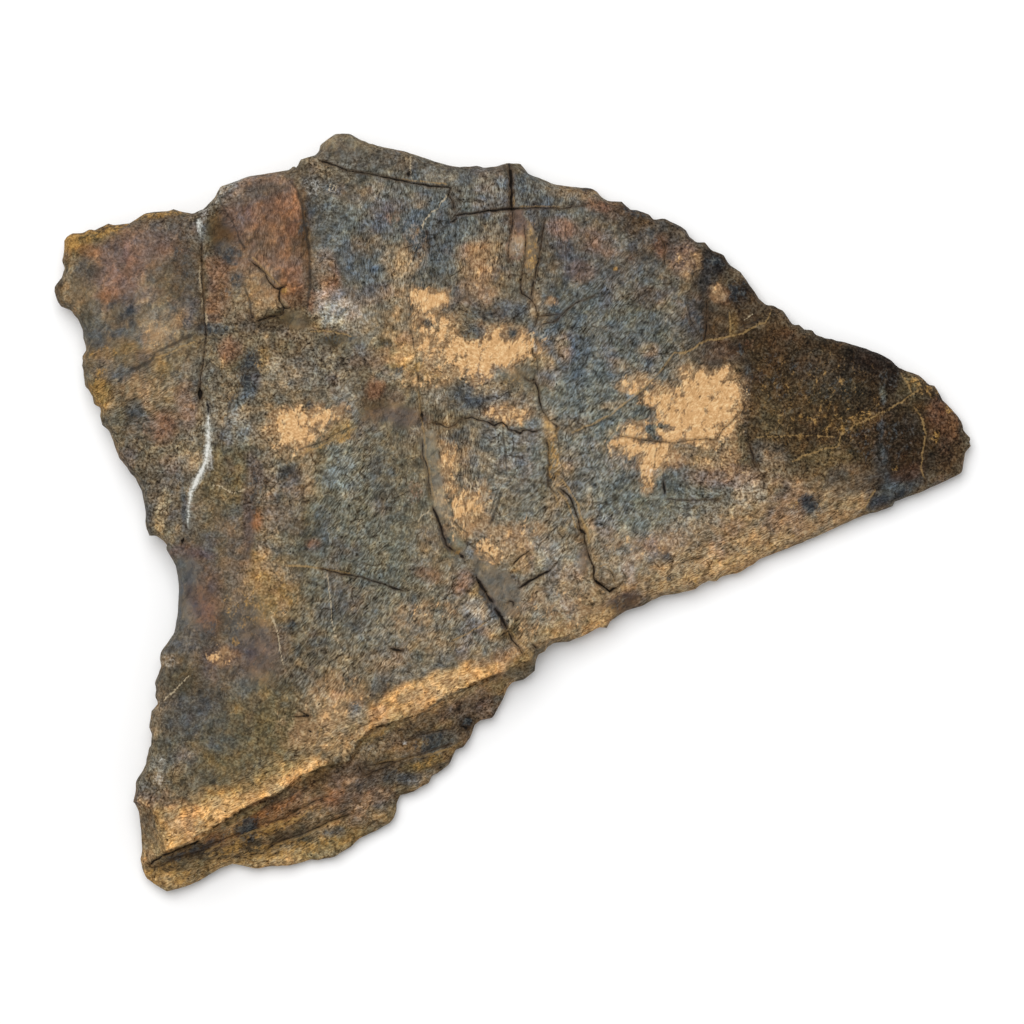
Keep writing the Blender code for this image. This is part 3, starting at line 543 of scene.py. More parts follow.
    ("pitch", 60, 592, 190, 9, 4, -10), ("steel", 50, 650, 236, 9, 10), ("ink", 40, 579, 267, 9, 8),
    ("ink", 50, 709, 284, 8, 10), ("honey", 50, 172, 812, 13, 7), ("straw", 60, 143, 806, 5, 10),
    # the bark oval at 98, 224 is painted shade on the top-left rim, darkening the rounded edge that the
    # light falls on
    ("bark", 50, 98, 224, 24, 6, 15), ("smoke", 40, 128, 268, 10, 7), ("stone", 50, 546, 602, 26, 9, 12),
    ("wheat", 70, 592, 627, 22, 6, 25), ("sand", 25, 738, 480, 24, 10), ("stone", 60, 350, 398, 14, 18),
    ("sand", 60, 226, 416, 9, 12), ("fawn", 40, 606, 540, 28, 12, 10), ("stone", 50, 544, 544, 16, 12),
    ("stone", 60, 700, 520, 28, 9, 15), ("umber", 45, 650, 300, 16, 12), ("slate", 50, 625, 243, 14, 9),
    ("steel", 40, 462, 240, 10, 12), ("copper", 45, 946, 416, 11, 20, 15),
    ("honey", 70, 556, 628, 16, 7, 15), ("slate", 40, 184, 568, 8, 16), ("straw", 50, 836, 512, 22, 7, 22),
    ("bark", 60, 268, 326, 26, 7, -5), ("bark", 50, 308, 322, 10, 7), ("sand", 50, 404, 296, 7, 10),
    ("smoke", 50, 385, 366, 16, 10), ("straw", 60, 402, 356, 18, 9, 15),
    # the umber and bark ovals on this line are painted shade on the top-left rim, darkening the rounded
    # edge that the light falls on
    ("umber", 45, 104, 226, 44, 8, 15), ("bark", 50, 160, 215, 46, 8, 3),
    # the umber oval at 700, 236 is painted shade along the top-right edge
    ("umber", 40, 700, 236, 60, 8, -32), ("peat", 50, 800, 352, 34, 24, 10),
    ("peat", 40, 762, 352, 14, 40), ("peat", 45, 872, 416, 44, 22), ("peat", 40, 930, 410, 24, 30),
    # the umber and smoke ovals at 96, 228 and 170, 224 are painted shade on the top-left rim
    ("umber", 40, 96, 228, 22, 6, 15), ("smoke", 60, 170, 224, 32, 8, 3), ("steel", 60, 172, 316, 14, 12),
    ("steel", 60, 138, 337, 12, 9), ("steel", 50, 124, 376, 16, 7, 20), ("smoke", 60, 150, 514, 6, 10),
    ("ash", 40, 222, 192, 12, 5, 30), ("smoke", 45, 252, 246, 26, 14), ("copper", 45, 330, 278, 12, 22),
    ("straw", 50, 367, 336, 8, 9), ("tan", 60, 541, 314, 7, 14), ("straw", 50, 564, 345, 8, 12),
    ("copper", 45, 580, 272, 13, 10), ("brown", 50, 572, 424, 18, 9), ("fawn", 50, 584, 510, 7, 20, -15),
    ("olive", 55, 340, 566, 14, 34), ("brown", 50, 386, 654, 26, 12, 10), ("sand", 50, 440, 398, 9, 6),
    ("gold", 50, 482, 594, 9, 14, -20), ("gold", 50, 498, 630, 12, 8), ("straw", 50, 646, 350, 9, 8),
    ("tan", 50, 654, 398, 8, 6), ("slate", 50, 470, 240, 14, 9), ("slate", 40, 456, 290, 12, 10),
    ("smoke", 60, 510, 335, 22, 7, 10), ("slate", 50, 480, 330, 12, 6), ("slate", 50, 422, 318, 12, 7),
    ("olive", 60, 396, 368, 14, 8), ("slate", 50, 660, 424, 16, 7), ("brown", 25, 815, 372, 18, 18),
    ("pitch", 70, 868, 360, 30, 14, 10), ("pitch", 70, 942, 446, 10, 16),
    ("brick", 50, 908, 472, 16, 8, 20), ("sand", 60, 845, 508, 16, 7, 22),
    ("smoke", 50, 838, 474, 20, 9, 20), ("grey", 50, 722, 432, 16, 14), ("dusk", 60, 185, 570, 10, 18),
    ("smoke", 70, 238, 612, 16, 22), ("smoke", 40, 254, 700, 12, 12), ("smoke", 50, 192, 524, 8, 14),
    # along the top
    ("ink", 50, 334, 182, 13, 9), ("smoke", 60, 262, 188, 28, 12, 8), ("sand", 60, 325, 268, 12, 12),
    ("sand", 50, 418, 202, 12, 7), ("rust", 40, 512, 240, 5, 20), ("tan", 60, 535, 303, 7, 13),
    ("slate", 60, 470, 236, 12, 10), ("slate", 50, 612, 240, 14, 11), ("slate", 50, 572, 214, 12, 9),
    ("ink", 50, 706, 276, 10, 20),
    # the left
    ("smoke", 60, 184, 313, 10, 12), ("steel", 50, 115, 374, 24, 9), ("smoke", 50, 140, 424, 16, 10),
    ("copper", 40, 88, 253, 12, 6), ("stone", 60, 213, 420, 8, 26), ("tan", 60, 247, 414, 7, 7),
    ("sand", 50, 247, 306, 9, 9), ("straw", 60, 164, 514, 6, 24), ("dusk", 70, 200, 588, 24, 36),
    ("smoke", 50, 216, 652, 14, 8), ("slate", 50, 246, 686, 14, 12), ("steel", 50, 186, 758, 13, 16),
    ("slate", 50, 222, 744, 20, 12), ("slate", 50, 286, 574, 14, 10),
    # the middle
    ("stone", 50, 362, 338, 16, 16), ("tan", 60, 401, 334, 11, 14), ("tan", 50, 309, 460, 10, 11),
    ("straw", 60, 488, 391, 12, 7), ("stone", 50, 440, 396, 14, 8), ("sand", 60, 432, 543, 9, 20),
    ("rust", 40, 432, 573, 13, 8), ("shale", 50, 490, 496, 14, 16), ("shale", 40, 533, 520, 22, 16),
    ("stone", 60, 482, 613, 16, 14), ("tan", 50, 434, 640, 20, 9), ("tan", 50, 374, 661, 12, 10),
    ("sand", 60, 617, 367, 12, 7), ("straw", 70, 656, 397, 11, 8), ("steel", 50, 566, 455, 12, 10),
    ("umber", 60, 752, 420, 10, 26),
    # the rim at the lower right, and the two golden ridges
    ("straw", 60, 725, 577, 50, 6, 22), ("straw", 60, 612, 612, 26, 6, 20),
    ("straw", 80, 385, 723, 26, 8, 25), ("straw", 70, 456, 690, 28, 8, 22),
    ("straw", 50, 190, 818, 36, 9, 25), ("wheat", 60, 460, 684, 20, 6, 22),
    ("gold", 35, 290, 776, 18, 5, 22), ("gold", 45, 370, 720, 12, 6, 25),
    ("gold", 35, 490, 670, 12, 6, 24), ("smoke", 70, 486, 661, 18, 5, 18),
    ("smoke", 50, 412, 694, 16, 4, 24), ("smoke", 50, 353, 735, 10, 4, 45),
    ("straw", 50, 368, 738, 12, 4, 35), ("smoke", 45, 378, 712, 34, 4, 38), ("slate", 45, 174, 817, 8, 8),
    ("straw", 50, 148, 806, 6, 8),
    # right of the main crack once more
    ("putty", 80, 480, 608, 10, 9), ("straw", 45, 480, 608, 10, 9), ("straw", 50, 520, 566, 10, 8),
    ("straw", 40, 540, 362, 10, 9), ("steel", 50, 650, 440, 14, 6, 20), ("tan", 40, 676, 462, 8, 10),
    ("steel", 50, 512, 532, 12, 14), ("tan", 50, 832, 516, 20, 7, 22), ("copper", 25, 830, 516, 16, 8, 22),
    ("umber", 75, 627, 603, 13, 7, 25), ("dusk", 60, 581, 556, 6, 9), ("sand", 45, 477, 272, 16, 24),
    ("steel", 60, 296, 490, 12, 12), ("stone", 50, 392, 376, 18, 8), ("steel", 50, 326, 248, 10, 12),
    ("copper", 40, 318, 304, 8, 10), ("steel", 40, 576, 268, 12, 14), ("slate", 60, 178, 585, 9, 34),
    ("straw", 50, 404, 356, 16, 12, 15), ("tan", 50, 612, 405, 12, 4, 25),
    ("tan", 60, 852, 502, 15, 9, 22), ("fawn", 70, 451, 572, 7, 16), ("steel", 50, 522, 406, 10, 6),
    ("steel", 50, 418, 430, 8, 7), ("steel", 50, 552, 345, 8, 12), ("steel", 50, 484, 442, 10, 9),
    # greyer and darker round the left edge's hollow, paler along the lower right
    ("dusk", 50, 182, 620, 14, 24), ("slate", 50, 182, 622, 14, 24), ("slate", 50, 192, 572, 10, 16),
    # the umber oval at 110, 238 is painted shade on the top-left rim
    ("umber", 30, 110, 238, 20, 9, 10), ("smoke", 50, 494, 172, 22, 8), ("smoke", 50, 304, 176, 16, 12),
    ("brown", 35, 268, 262, 34, 46, 3), ("brown", 40, 221, 296, 14, 26),
    ("putty", 35, 556, 614, 24, 12, 10), ("putty", 30, 748, 496, 22, 14), ("putty", 30, 558, 560, 22, 16),
    ("putty", 35, 430, 366, 18, 12), ("putty", 40, 492, 368, 18, 12), ("putty", 25, 240, 430, 16, 14),
    ("putty", 30, 498, 622, 12, 10), ("putty", 25, 624, 560, 20, 12), ("straw", 50, 548, 636, 24, 5, 18),
    # the darkest of the right end
    ("pitch", 50, 706, 282, 10, 14), ("pitch", 50, 736, 345, 10, 12), ("pitch", 40, 808, 368, 18, 12, -20),
    ("pitch", 40, 853, 400, 26, 14), ("pitch", 80, 884, 366, 20, 12, -30), ("pitch", 45, 902, 442, 16, 30),
    ("pitch", 30, 892, 476, 26, 9, 22), ("peat", 50, 942, 456, 12, 20), ("brick", 40, 938, 412, 10, 12),
]

# The broken side: colours of its layers, laid after the others and only there
BROKEN_STAINS = [
    ("honey", 75, 280, 820, 200, 60, 25), ("bark", 55, 280, 822, 120, 30, 25),
    ("bark", 80, 430, 735, 80, 50, 25), ("sand", 70, 312, 797, 44, 12, 25),
    ("sand", 60, 322, 800, 20, 12, 25), ("bark", 70, 268, 800, 14, 8, 25),
    ("copper", 70, 222, 832, 22, 9, 30), ("copper", 40, 292, 810, 60, 13, 25),
    ("smoke", 60, 385, 800, 15, 11, 25), ("umber", 50, 290, 846, 24, 4, 22),
    ("pitch", 85, 251, 830, 11, 15), ("umber", 80, 190, 852, 30, 6, 20),
    ("honey", 70, 175, 872, 34, 9, 12), ("tan", 80, 165, 882, 16, 7, 5), ("straw", 90, 288, 857, 56, 9, 8),
    ("tan", 60, 275, 866, 34, 5, 5), ("honey", 70, 350, 840, 26, 9, 25), ("brown", 70, 362, 806, 26, 18),
    ("tan", 50, 358, 812, 10, 6), ("steel", 70, 335, 831, 10, 6), ("smoke", 40, 374, 828, 14, 8, 25),
    ("sand", 70, 382, 748, 22, 8, 30), ("ochre", 80, 377, 735, 20, 5, 28),
    ("smoke", 70, 392, 777, 16, 11, 15), ("steel", 70, 428, 743, 16, 11, 10),
    ("ochre", 80, 422, 766, 22, 6, 20), ("pitch", 90, 467, 727, 8, 7), ("honey", 60, 442, 724, 14, 5, 20),
    ("ochre", 60, 470, 705, 26, 6, 22), ("honey", 70, 502, 688, 16, 9, 20),
    ("brown", 50, 480, 713, 12, 7, 20), ("rose", 70, 140, 786, 6, 18), ("brown", 60, 152, 825, 10, 22),
    ("dusk", 50, 345, 772, 20, 8, 25), ("gold", 70, 410, 748, 22, 6, 20),
    ("gold", 50, 240, 826, 14, 6, 30), ("gold", 60, 320, 852, 34, 9, 18), ("straw", 50, 152, 848, 9, 8),
    ("sand", 40, 372, 800, 14, 8, 20), ("pitch", 50, 436, 768, 9, 6), ("tan", 70, 407, 755, 14, 8, 10),
    ("tan", 60, 318, 812, 15, 20, 20), ("sand", 60, 425, 780, 16, 8, 30),
    ("sand", 50, 372, 800, 22, 14, 20), ("straw", 70, 176, 878, 30, 8, 12), ("straw", 70, 245, 862, 34, 6),
    ("sand", 60, 440, 712, 30, 9, 22), ("smoke", 40, 432, 760, 10, 8), ("straw", 70, 465, 697, 34, 5, 22),
    ("straw", 60, 385, 732, 26, 4, 30), ("bark", 50, 402, 742, 16, 4, 15),
    ("tan", 60, 232, 824, 14, 7, 35), ("tan", 50, 368, 749, 16, 6, 30), ("straw", 50, 255, 868, 30, 5),
    ("straw", 60, 182, 886, 24, 6, 12), ("umber", 60, 318, 782, 26, 7, 25),
    ("umber", 50, 250, 814, 40, 4, 27), ("umber", 50, 436, 716, 34, 6, 22),
    ("umber", 50, 170, 868, 20, 4, 18), ("bark", 50, 452, 733, 14, 9, 20),
    ("copper", 50, 252, 804, 22, 4, 27), ("copper", 40, 322, 802, 24, 6, 25),
    ("ochre", 50, 440, 758, 26, 5, 22), ("wheat", 40, 234, 826, 16, 4, 32), ("steel", 60, 382, 804, 9, 8),
    ("ochre", 60, 240, 817, 26, 4, 27), ("copper", 50, 275, 808, 30, 4, 25),
    ("umber", 60, 210, 840, 26, 3, 27), ("umber", 50, 300, 784, 40, 4, 27),
    ("umber", 50, 300, 830, 40, 3, 22), ("straw", 40, 300, 847, 40, 4, 18),
    ("dusk", 50, 468, 707, 30, 11, 22), ("slate", 40, 442, 741, 16, 10, 10),
    ("steel", 50, 408, 780, 12, 7, 10), ("dusk", 50, 362, 784, 20, 14, 20),
    ("olive", 50, 384, 729, 16, 5, 25), ("brick", 40, 404, 748, 16, 6, 10),
]

# Light tan skin, worn through to the darker bone in places: softness of its edge in pixels,
# strength, and its outline. The crest is the front's edge above the broken side.
TAN_PATCHES = [
    (12.0, 0.68, [
        (411, 291), (446, 290), (450, 304), (446, 312), (458, 321), (464, 338), (470, 350), (458, 366),
        (440, 366), (424, 358), (412, 346), (413, 322)]),
    (12.0, 0.9, [
        (464, 350), (480, 344), (487, 328), (503, 325), (512, 336), (531, 340), (538, 348), (517, 362),
        (508, 368), (494, 370), (480, 386), (470, 378), (462, 364)]),
    (14.0, 1.0, [
        (276, 412), (296, 408), (308, 414), (328, 412), (346, 410), (336, 419), (312, 428), (300, 442),
        (280, 442)]),
    (14.0, 1.15, [
        (684, 376), (702, 370), (728, 373), (741, 384), (743, 408.6), (735, 436), (709.6, 440), (677, 440),
        (660, 430), (664, 414), (654, 402), (658, 392), (682, 390)]),
    (12.0, 0.8, [
        (612, 436), (634, 420), (645, 434), (672, 441), (676, 452), (664, 466), (656, 474), (650, 490),
        (645, 491), (641, 474), (632, 456), (604, 447.6)]),
]
TAN_CREST = [
    (10.0, 0.24, [
        (160, 838), (168, 848), (197, 835), (230, 815), (262, 798), (290, 784), (325, 763), (318, 758),
        (285, 770), (250, 788), (215, 804), (190, 815), (166, 822)]),
    (10.0, 0.24, [
        (352, 730), (372, 712), (400, 694), (452, 672), (516, 650), (530, 656), (475, 681), (418, 712),
        (390, 722), (360, 738)]),
]
# Scattered tan: strength in percent, centre, half length, half width, and turn in degrees. Where
# the strength is below nothing, the skin is worn through.
TAN_MARKS = [
    (42, 430, 378, 26, 12, 10), (30, 396, 352, 22, 10), (20, 415, 250, 14, 30), (22, 480, 270, 20, 26),
    (30, 505, 345, 45, 20), (30, 300, 425, 34, 22, 15), (40, 632, 384, 16, 10), (42, 716, 455, 26, 9),
    (35, 712, 468, 44, 4, -8), (22, 660, 440, 44, 26), (10, 690, 400, 60, 42), (30, 455, 460, 16, 16),
    (42, 470, 512, 18, 34, -30), (38, 518, 538, 34, 18, 10), (25, 560, 610, 60, 26, 15),
    (20, 640, 545, 60, 14, 12), (25, 740, 562, 90, 16, 23), (30, 340, 695, 26, 26),
    (22, 165, 330, 30, 16, 35), (25, 145, 388, 26, 14), (20, 272, 590, 26, 36), (30, 220, 655, 16, 10),
    (25, 430, 612, 40, 14, 10), (62, 510, 416, 20, 10), (35, 448, 458, 8, 16, -10), (55, 452, 489, 6, 12),
    (50, 464, 500, 9, 14, -20), (50, 490, 552, 17, 9, -35), (35, 552, 300, 8, 6),
    (20, 300, 445, 30, 12, 20), (30, 720, 292, 8, 10), (25, 688, 262, 12, 18), (25, 836, 512, 30, 8, 22),
    (22, 300, 725, 24, 24), (30, 795, 484, 7, 7), (-90, 640, 412, 7, 7), (-70, 650, 431, 6, 5),
    (-50, 524, 405, 10, 5), (-90, 668, 427, 11, 5), (-50, 690, 452, 24, 5, -5), (-60, 620, 398, 14, 8),
    (-60, 470, 337, 11, 6), (-70, 508, 336, 11, 6), (-50, 429, 323, 6, 5), (-40, 314, 424, 8, 8),
    (-50, 488, 335, 13, 6), (-60, 652, 441, 12, 5), (60, 430, 299, 17, 9), (50, 643, 403, 10, 8),
    (-40, 671, 405, 6, 5), (-45, 706, 428, 10, 4, 20),
]
# Iron rust
RUST_MARKS = [
    (12, 268, 240, 40, 44, 5), (8, 290, 222, 10, 34, 3), (10, 222, 286, 15, 28), (40, 230, 350, 14, 14),
    (15, 265, 292, 16, 20), (6, 112, 270, 30, 26), (30, 155, 425, 16, 14), (30, 392, 212, 10, 9),
    (30, 395, 222, 6, 6), (50, 377, 390, 6, 11), (50, 412, 491, 8, 12), (50, 462, 585, 6, 5),
    (50, 312, 546, 6, 6), (35, 566, 232, 9, 13), (20, 596, 245, 14, 10), (40, 595, 206, 11, 6),
    (50, 628, 258, 5, 4), (50, 664, 252, 4, 8), (50, 554, 299, 5, 4), (50, 312, 303, 4, 15),
    (40, 332, 332, 22, 3, -10), (15, 945, 435, 14, 34), (12, 875, 440, 50, 30), (8, 260, 820, 110, 30, 25),
    (25, 205, 610, 12, 26), (20, 750, 345, 10, 10),
]
# Yellow ochre
OCHRE_MARKS = [
    (50, 92, 236, 40, 8, 18), (40, 70, 242, 10, 12), (50, 152, 214, 36, 4, 8), (42, 96, 398, 11, 32, -15),
    (30, 112, 352, 36, 6, 3), (40, 345, 432, 7, 8), (30, 330, 442, 30, 4, 22), (35, 531, 245, 8, 22),
    (40, 552, 455, 9, 36), (60, 614, 270, 3, 3), (35, 258, 360, 8, 14), (25, 243, 612, 20, 24),
    (25, 277, 590, 24, 32), (50, 235, 641, 4, 4), (30, 428, 372, 16, 10), (20, 410, 370, 30, 16),
    (35, 652, 473, 11, 7), (50, 458, 551, 4, 4), (50, 792, 505, 8, 5), (35, 925, 384, 18, 9, -30),
    (40, 935, 436, 6, 7), (40, 950, 410, 6, 6), (50, 895, 467, 3, 3), (17, 815, 405, 70, 55),
    (12, 868, 416, 24, 6, 25), (22, 740, 560, 100, 14, 23), (12, 245, 798, 90, 20, 27),
    (12, 430, 688, 110, 18, 21), (50, 170, 880, 30, 10, 5), (50, 285, 852, 60, 10, 10),
    (30, 250, 840, 60, 5, 22), (30, 370, 740, 20, 8, 30), (40, 430, 761, 20, 5, 25),
    (40, 160, 868, 24, 3, 25), (40, 272, 828, 60, 4, 22), (35, 315, 730, 6, 14), (20, 512, 380, 24, 8),
    (30, 282, 300, 6, 18, -10),
]
# Blue-black mineral stain, and painted shade along the filled valley's left edge and along the
# top-right edge
DARK_MARKS = [
    (55, 316, 406, 10, 5), (55, 428, 322, 9, 7), (60, 508, 333, 11, 6), (50, 530, 345, 8, 5),
    (50, 470, 336, 12, 5), (40, 640, 413, 7, 6), (40, 668, 426, 9, 4), (50, 632, 462, 9, 7),
    (50, 401, 370, 10, 5), (28, 470, 395, 26, 10), (20, 462, 440, 14, 10), (20, 455, 300, 12, 18),
    (22, 490, 315, 34, 16), (20, 438, 265, 22, 26), (35, 565, 252, 11, 9), (40, 340, 340, 18, 4),
    (40, 388, 342, 10, 5), (70, 352, 359, 2.5, 3.5), (40, 422, 420, 4, 6), (50, 246, 373, 7, 24, -8),
    (50, 232, 253, 16, 9, -20), (40, 241, 278, 5, 8), (35, 230, 290, 6, 6), (45, 216, 329, 19, 6),
    (40, 307, 228, 6, 24), (35, 131, 304, 5, 11, 15), (15, 82, 268, 8, 6), (25, 112, 333, 28, 9),
    (35, 135, 420, 6, 10), (40, 231, 405, 5, 16, -15), (20, 185, 262, 14, 40), (40, 292, 474, 6, 7),
    (35, 256, 492, 7, 22), (40, 213, 626, 7, 14, -25), (40, 294, 626, 8, 6), (60, 256, 663, 3, 3),
    (60, 233, 669, 2.5, 2), (25, 160, 782, 12, 12), (15, 195, 700, 24, 40), (50, 650, 431, 5, 5),
    # the marks at 712, 262 and 736, 288 are painted shade along the top-right edge
    (20, 560, 440, 5, 12), (50, 712, 262, 11, 8), (50, 736, 288, 11, 13), (30, 690, 318, 8, 18),
    (40, 703, 330, 5, 16), (60, 739, 350, 4, 6), (35, 748, 400, 5, 40), (45, 590, 191, 8, 4),
    (50, 637, 212, 14, 5, -20), (30, 650, 236, 12, 12), (30, 888, 378, 13, 12), (20, 790, 380, 40, 36),
    (25, 880, 440, 40, 30), (20, 850, 385, 30, 12, 10), (60, 811, 506, 13, 12, 20), (60, 668, 553, 4, 5),
    (50, 625, 583, 3, 3), (50, 670, 580, 6, 4, 20), (40, 895, 495, 32, 8, 22), (30, 664, 478, 6, 5),
    (60, 250, 831, 11, 13), (55, 428, 742, 16, 9, 20), (70, 467, 727, 6, 5), (30, 392, 778, 12, 6, 20),
    (40, 332, 833, 8, 5), (25, 260, 815, 80, 8, 27), (40, 190, 850, 30, 6, 22), (20, 455, 520, 6, 6),
    # this row and the first two marks of the next are painted shade: a dark line along the filled valley's
    # left edge, in the shadow of the higher bone on its left
    (40, 452, 546, 5, 14, 30), (60, 479, 583, 4, 12, 32), (70, 491, 602, 5, 12, 30),
    (60, 503, 621, 4, 11, 28), (60, 446, 535, 4, 14, 25), (40, 518, 648, 5, 8), (40, 620, 604, 12, 6, 25),
]
# White lime
CHALK_MARKS = [
    (25, 204, 214, 7, 12, -20), (40, 199, 227, 3, 7), (35, 209, 440, 4, 18), (45, 209, 460, 6, 12, 10),
    (45, 198, 480, 5, 12, -30), (35, 191, 494, 4, 8), (25, 312, 186, 9, 11), (25, 518, 248, 6, 9),
    (20, 481, 375, 6, 8), (35, 652, 472, 9, 5), (20, 474, 488, 8, 8), (20, 495, 392, 5, 5),
    (25, 440, 398, 8, 6), (30, 160, 778, 6, 8), (40, 164, 758, 4, 2), (40, 405, 743, 3, 2.4),
    (25, 168, 660, 12, 7), (50, 535, 348, 2, 6),
]
# Smooth fill that was pressed or washed into hollows, with a clear edge: colour, softness,
# strength and outline
FILLED_AREAS = [
    ("grey", 2.2, 0.75, [
        (424, 430), (436, 430), (440, 452), (442, 470), (446, 484), (450, 500), (453, 514), (448, 520),
        (440, 512), (433, 500), (430, 484), (427, 466), (424, 450)]),
    ("fawn", 2.4, 0.8, [(435, 486), (446, 486), (451, 505), (450, 520), (438, 510)]),
    ("shale", 2.0, 0.6, [(445, 526), (455, 527), (463, 534), (466, 545), (456, 546), (449, 538)]),
    ("silt", 2.0, 0.9, [
        (475, 552), (482, 551), (490, 555), (496, 565), (502, 572), (508, 570), (513, 578), (518, 585),
        (519, 592), (516, 600), (520, 612), (515, 616), (508, 617), (502, 612), (496, 600), (487, 590),
        (478, 580), (475, 568)]),
    ("dusk", 1.2, 0.9, [(514, 211), (523, 211), (525, 228), (523, 240), (513, 240), (514, 225)]),
    ("rose", 1.2, 0.8, [
        (511, 243), (518, 237), (524, 241), (525, 250), (521, 258), (514, 256), (510, 251), (505, 252),
        (505, 247)]),
    ("fawn", 0.8, 0.6, [
        (511, 243), (518, 239), (523, 243), (524, 250), (519, 255), (513, 254), (509, 251), (506, 251),
        (506, 248)]),
    ("brown", 1.4, 0.8, [
        (525, 222), (530, 226), (535, 237), (538, 250), (535, 262), (531, 272), (526, 268), (526, 245)]),
    ("straw", 1.2, 0.8, [(546, 417), (551, 421), (554, 430), (549, 431), (542, 428)]),
]
# Soft ovals of the same fill
FILL_MARKS = [
    (80, 430, 465, 6, 34, 3), (80, 440, 500, 7, 22, 12), (80, 455, 543, 8, 16, 40),
    (90, 497, 588, 14, 30, 32), (70, 392, 416, 30, 13, -5), (80, 519, 224, 4, 13), (80, 220, 230, 13, 17),
    (70, 297, 322, 16, 9), (50, 340, 341, 28, 6), (80, 190, 588, 14, 34), (50, 212, 612, 16, 26),
    (60, 265, 665, 18, 26), (50, 252, 540, 6, 32), (80, 625, 603, 14, 9, 20), (60, 582, 560, 9, 14),
    (50, 518, 375, 24, 9), (50, 342, 148, 24, 14), (50, 250, 625, 22, 24),
]

# Small random shapes
LATTICE = 24
WARP_COARSE = (26.0, 5.0)
WARP_FINE = (8.0, 1.6)


def lumps(points, size, seed):
    """Smooth random values from about -1 to 1, in lumps of about this size."""
    lattice = np.random.default_rng(seed).uniform(-1.0, 1.0, (LATTICE,) * 3)
    scaled = np.asarray(points, float) / size
    if scaled.shape[1] == 2:
        scaled = np.column_stack([scaled, np.full(len(scaled), 0.5)])
    base = np.floor(scaled).astype(int)
    part = smooth_step(scaled - base)
    total = np.zeros(len(scaled))
    for corner in itertools.product((0, 1), repeat=3):
        weight = np.where(corner, part, 1.0 - part).prod(axis=1)
        index = (base + corner) % LATTICE
        total += weight * lattice[index[:, 0], index[:, 1], index[:, 2]]
    return total


def lumpy(points, seed, layers, start=0.0):
    """Lumps in layers of a strength and a size, added up from the start."""
    return sum((strength * lumps(points, size, seed + number)
                for number, (strength, size) in enumerate(layers)), start)


def smooth_step(values):
    """0 below 0, 1 above 1 and a soft S between."""
    held = np.clip(values, 0.0, 1.0)
    return held * held * (3.0 - 2.0 * held)


def to_metres(places):
    return (np.array(places, float) - MIDDLE_PLACE) * (PIXEL, -PIXEL)


def to_places(points):
    return points[:, :2] / (PIXEL, -PIXEL) + MIDDLE_PLACE


def to_pixels(millimetres):
    return millimetres * MM / PIXEL


def warped(places):
    """Places pushed about a little, so that soft shapes drawn on them get wandering edges."""
    moved = np.array(places, float)
    for seed, (size, reach) in enumerate((WARP_COARSE, WARP_FINE)):
        moved[:, 0] += reach * lumps(places, size, 10 + seed)
        moved[:, 1] += reach * lumps(places, size, 20 + seed)
    return moved


def along_line(places, line, reach):
    """For places within reach of a line: which they are, how far off, and how far along it."""
    line = np.array(line, float)
    near = np.flatnonzero(((places > line.min(axis=0) - reach)
                           & (places < line.max(axis=0) + reach)).all(axis=1))
    spots = places[near]
    off = np.full(len(near), np.inf)
    way = np.zeros(len(near))
    gone = 0.0
    for start, end in zip(line, line[1:]):
        step = end - start
        length = np.hypot(*step)
        share = np.clip((spots - start) @ step / length ** 2, 0.0, 1.0)
        gap = spots - (start + share[:, None] * step)
        here = np.hypot(gap[:, 0], gap[:, 1])
        nearer = here < off
        off = np.where(nearer, here, off)
        way = np.where(nearer, gone + share * length, way)
        gone += length
    return near, off, way


def inside_ring(places, ring):
    """Whether each place lies inside a closed ring of places."""
    inside = np.zeros(len(places), bool)
    for (x0, y0), (x1, y1) in zip(ring, np.roll(ring, -1, axis=0)):
        if y0 == y1:
            continue
        crosses = (places[:, 1] >= min(y0, y1)) & (places[:, 1] < max(y0, y1))
        meets = x0 + (places[:, 1] - y0) * (x1 - x0) / (y1 - y0)
        inside ^= crosses & (places[:, 0] < meets)
    return inside


def share_in_ring(places, ring, softness):
    """How far each place lies in a closed ring with a soft edge: 1 well inside, 0 well outside."""
    ring = np.array(ring, float)
    share = np.zeros(len(places))
    near, off, _ = along_line(places, np.vstack([ring, ring[:1]]), softness)
    depth = np.where(inside_ring(places[near], ring), off, -off)
    share[near] = smooth_step(0.5 + depth / (2 * softness))
    return share


def way_along(line):
    """How far along a line each of its points lies."""
    return np.concatenate([[0.0], np.cumsum(np.hypot(*np.diff(line, axis=0).T))])


def points_at(line, gone, way):
    """The points that lie this way along a line."""
    return np.column_stack([np.interp(way, gone, line[:, axis]) for axis in (0, 1)])


def aside(along):
    """The direction a quarter turn to the left of each of these, one long."""
    left = np.column_stack([-along[:, 1], along[:, 0]])
    return left / np.hypot(along[:, 0], along[:, 1])[:, None]


def wandering(line, seed):
    """A line's places, close together, with the small bends of a real crack."""
    line = np.array(line, float)
    gone = way_along(line)
    count = max(2, int(np.ceil(gone[-1] / ROW_STEP)) + 1)
    way = np.linspace(0.0, gone[-1], count)
    path = points_at(line, gone, way)
    spread = np.column_stack([way, np.full(count, seed * 1.7)])
    ends = np.minimum(1.0, np.minimum(way, gone[-1] - way) / STRAIGHT_END)
    bend = lumpy(spread, 31, LINE_BENDS) * ends
    return path + aside(np.gradient(path, axis=0)) * bend[:, None]


def half_widths(path, width, seed):
    """Half the width along a line in pixels, uneven, and narrowing to its ends."""
    gone = way_along(path)
    taper = np.minimum(1.0, END_WIDTH + np.minimum(gone, gone[-1] - gone) / TAPER_REACH)
    spread = np.column_stack([gone, np.full(len(gone), seed * 2.3)])
    uneven = lumpy(spread, 41, LINE_WIDTHS, MIDDLE_WIDTH)
    return gone, to_pixels(width) / 2 * taper * np.maximum(uneven, LEAST_WIDTH)


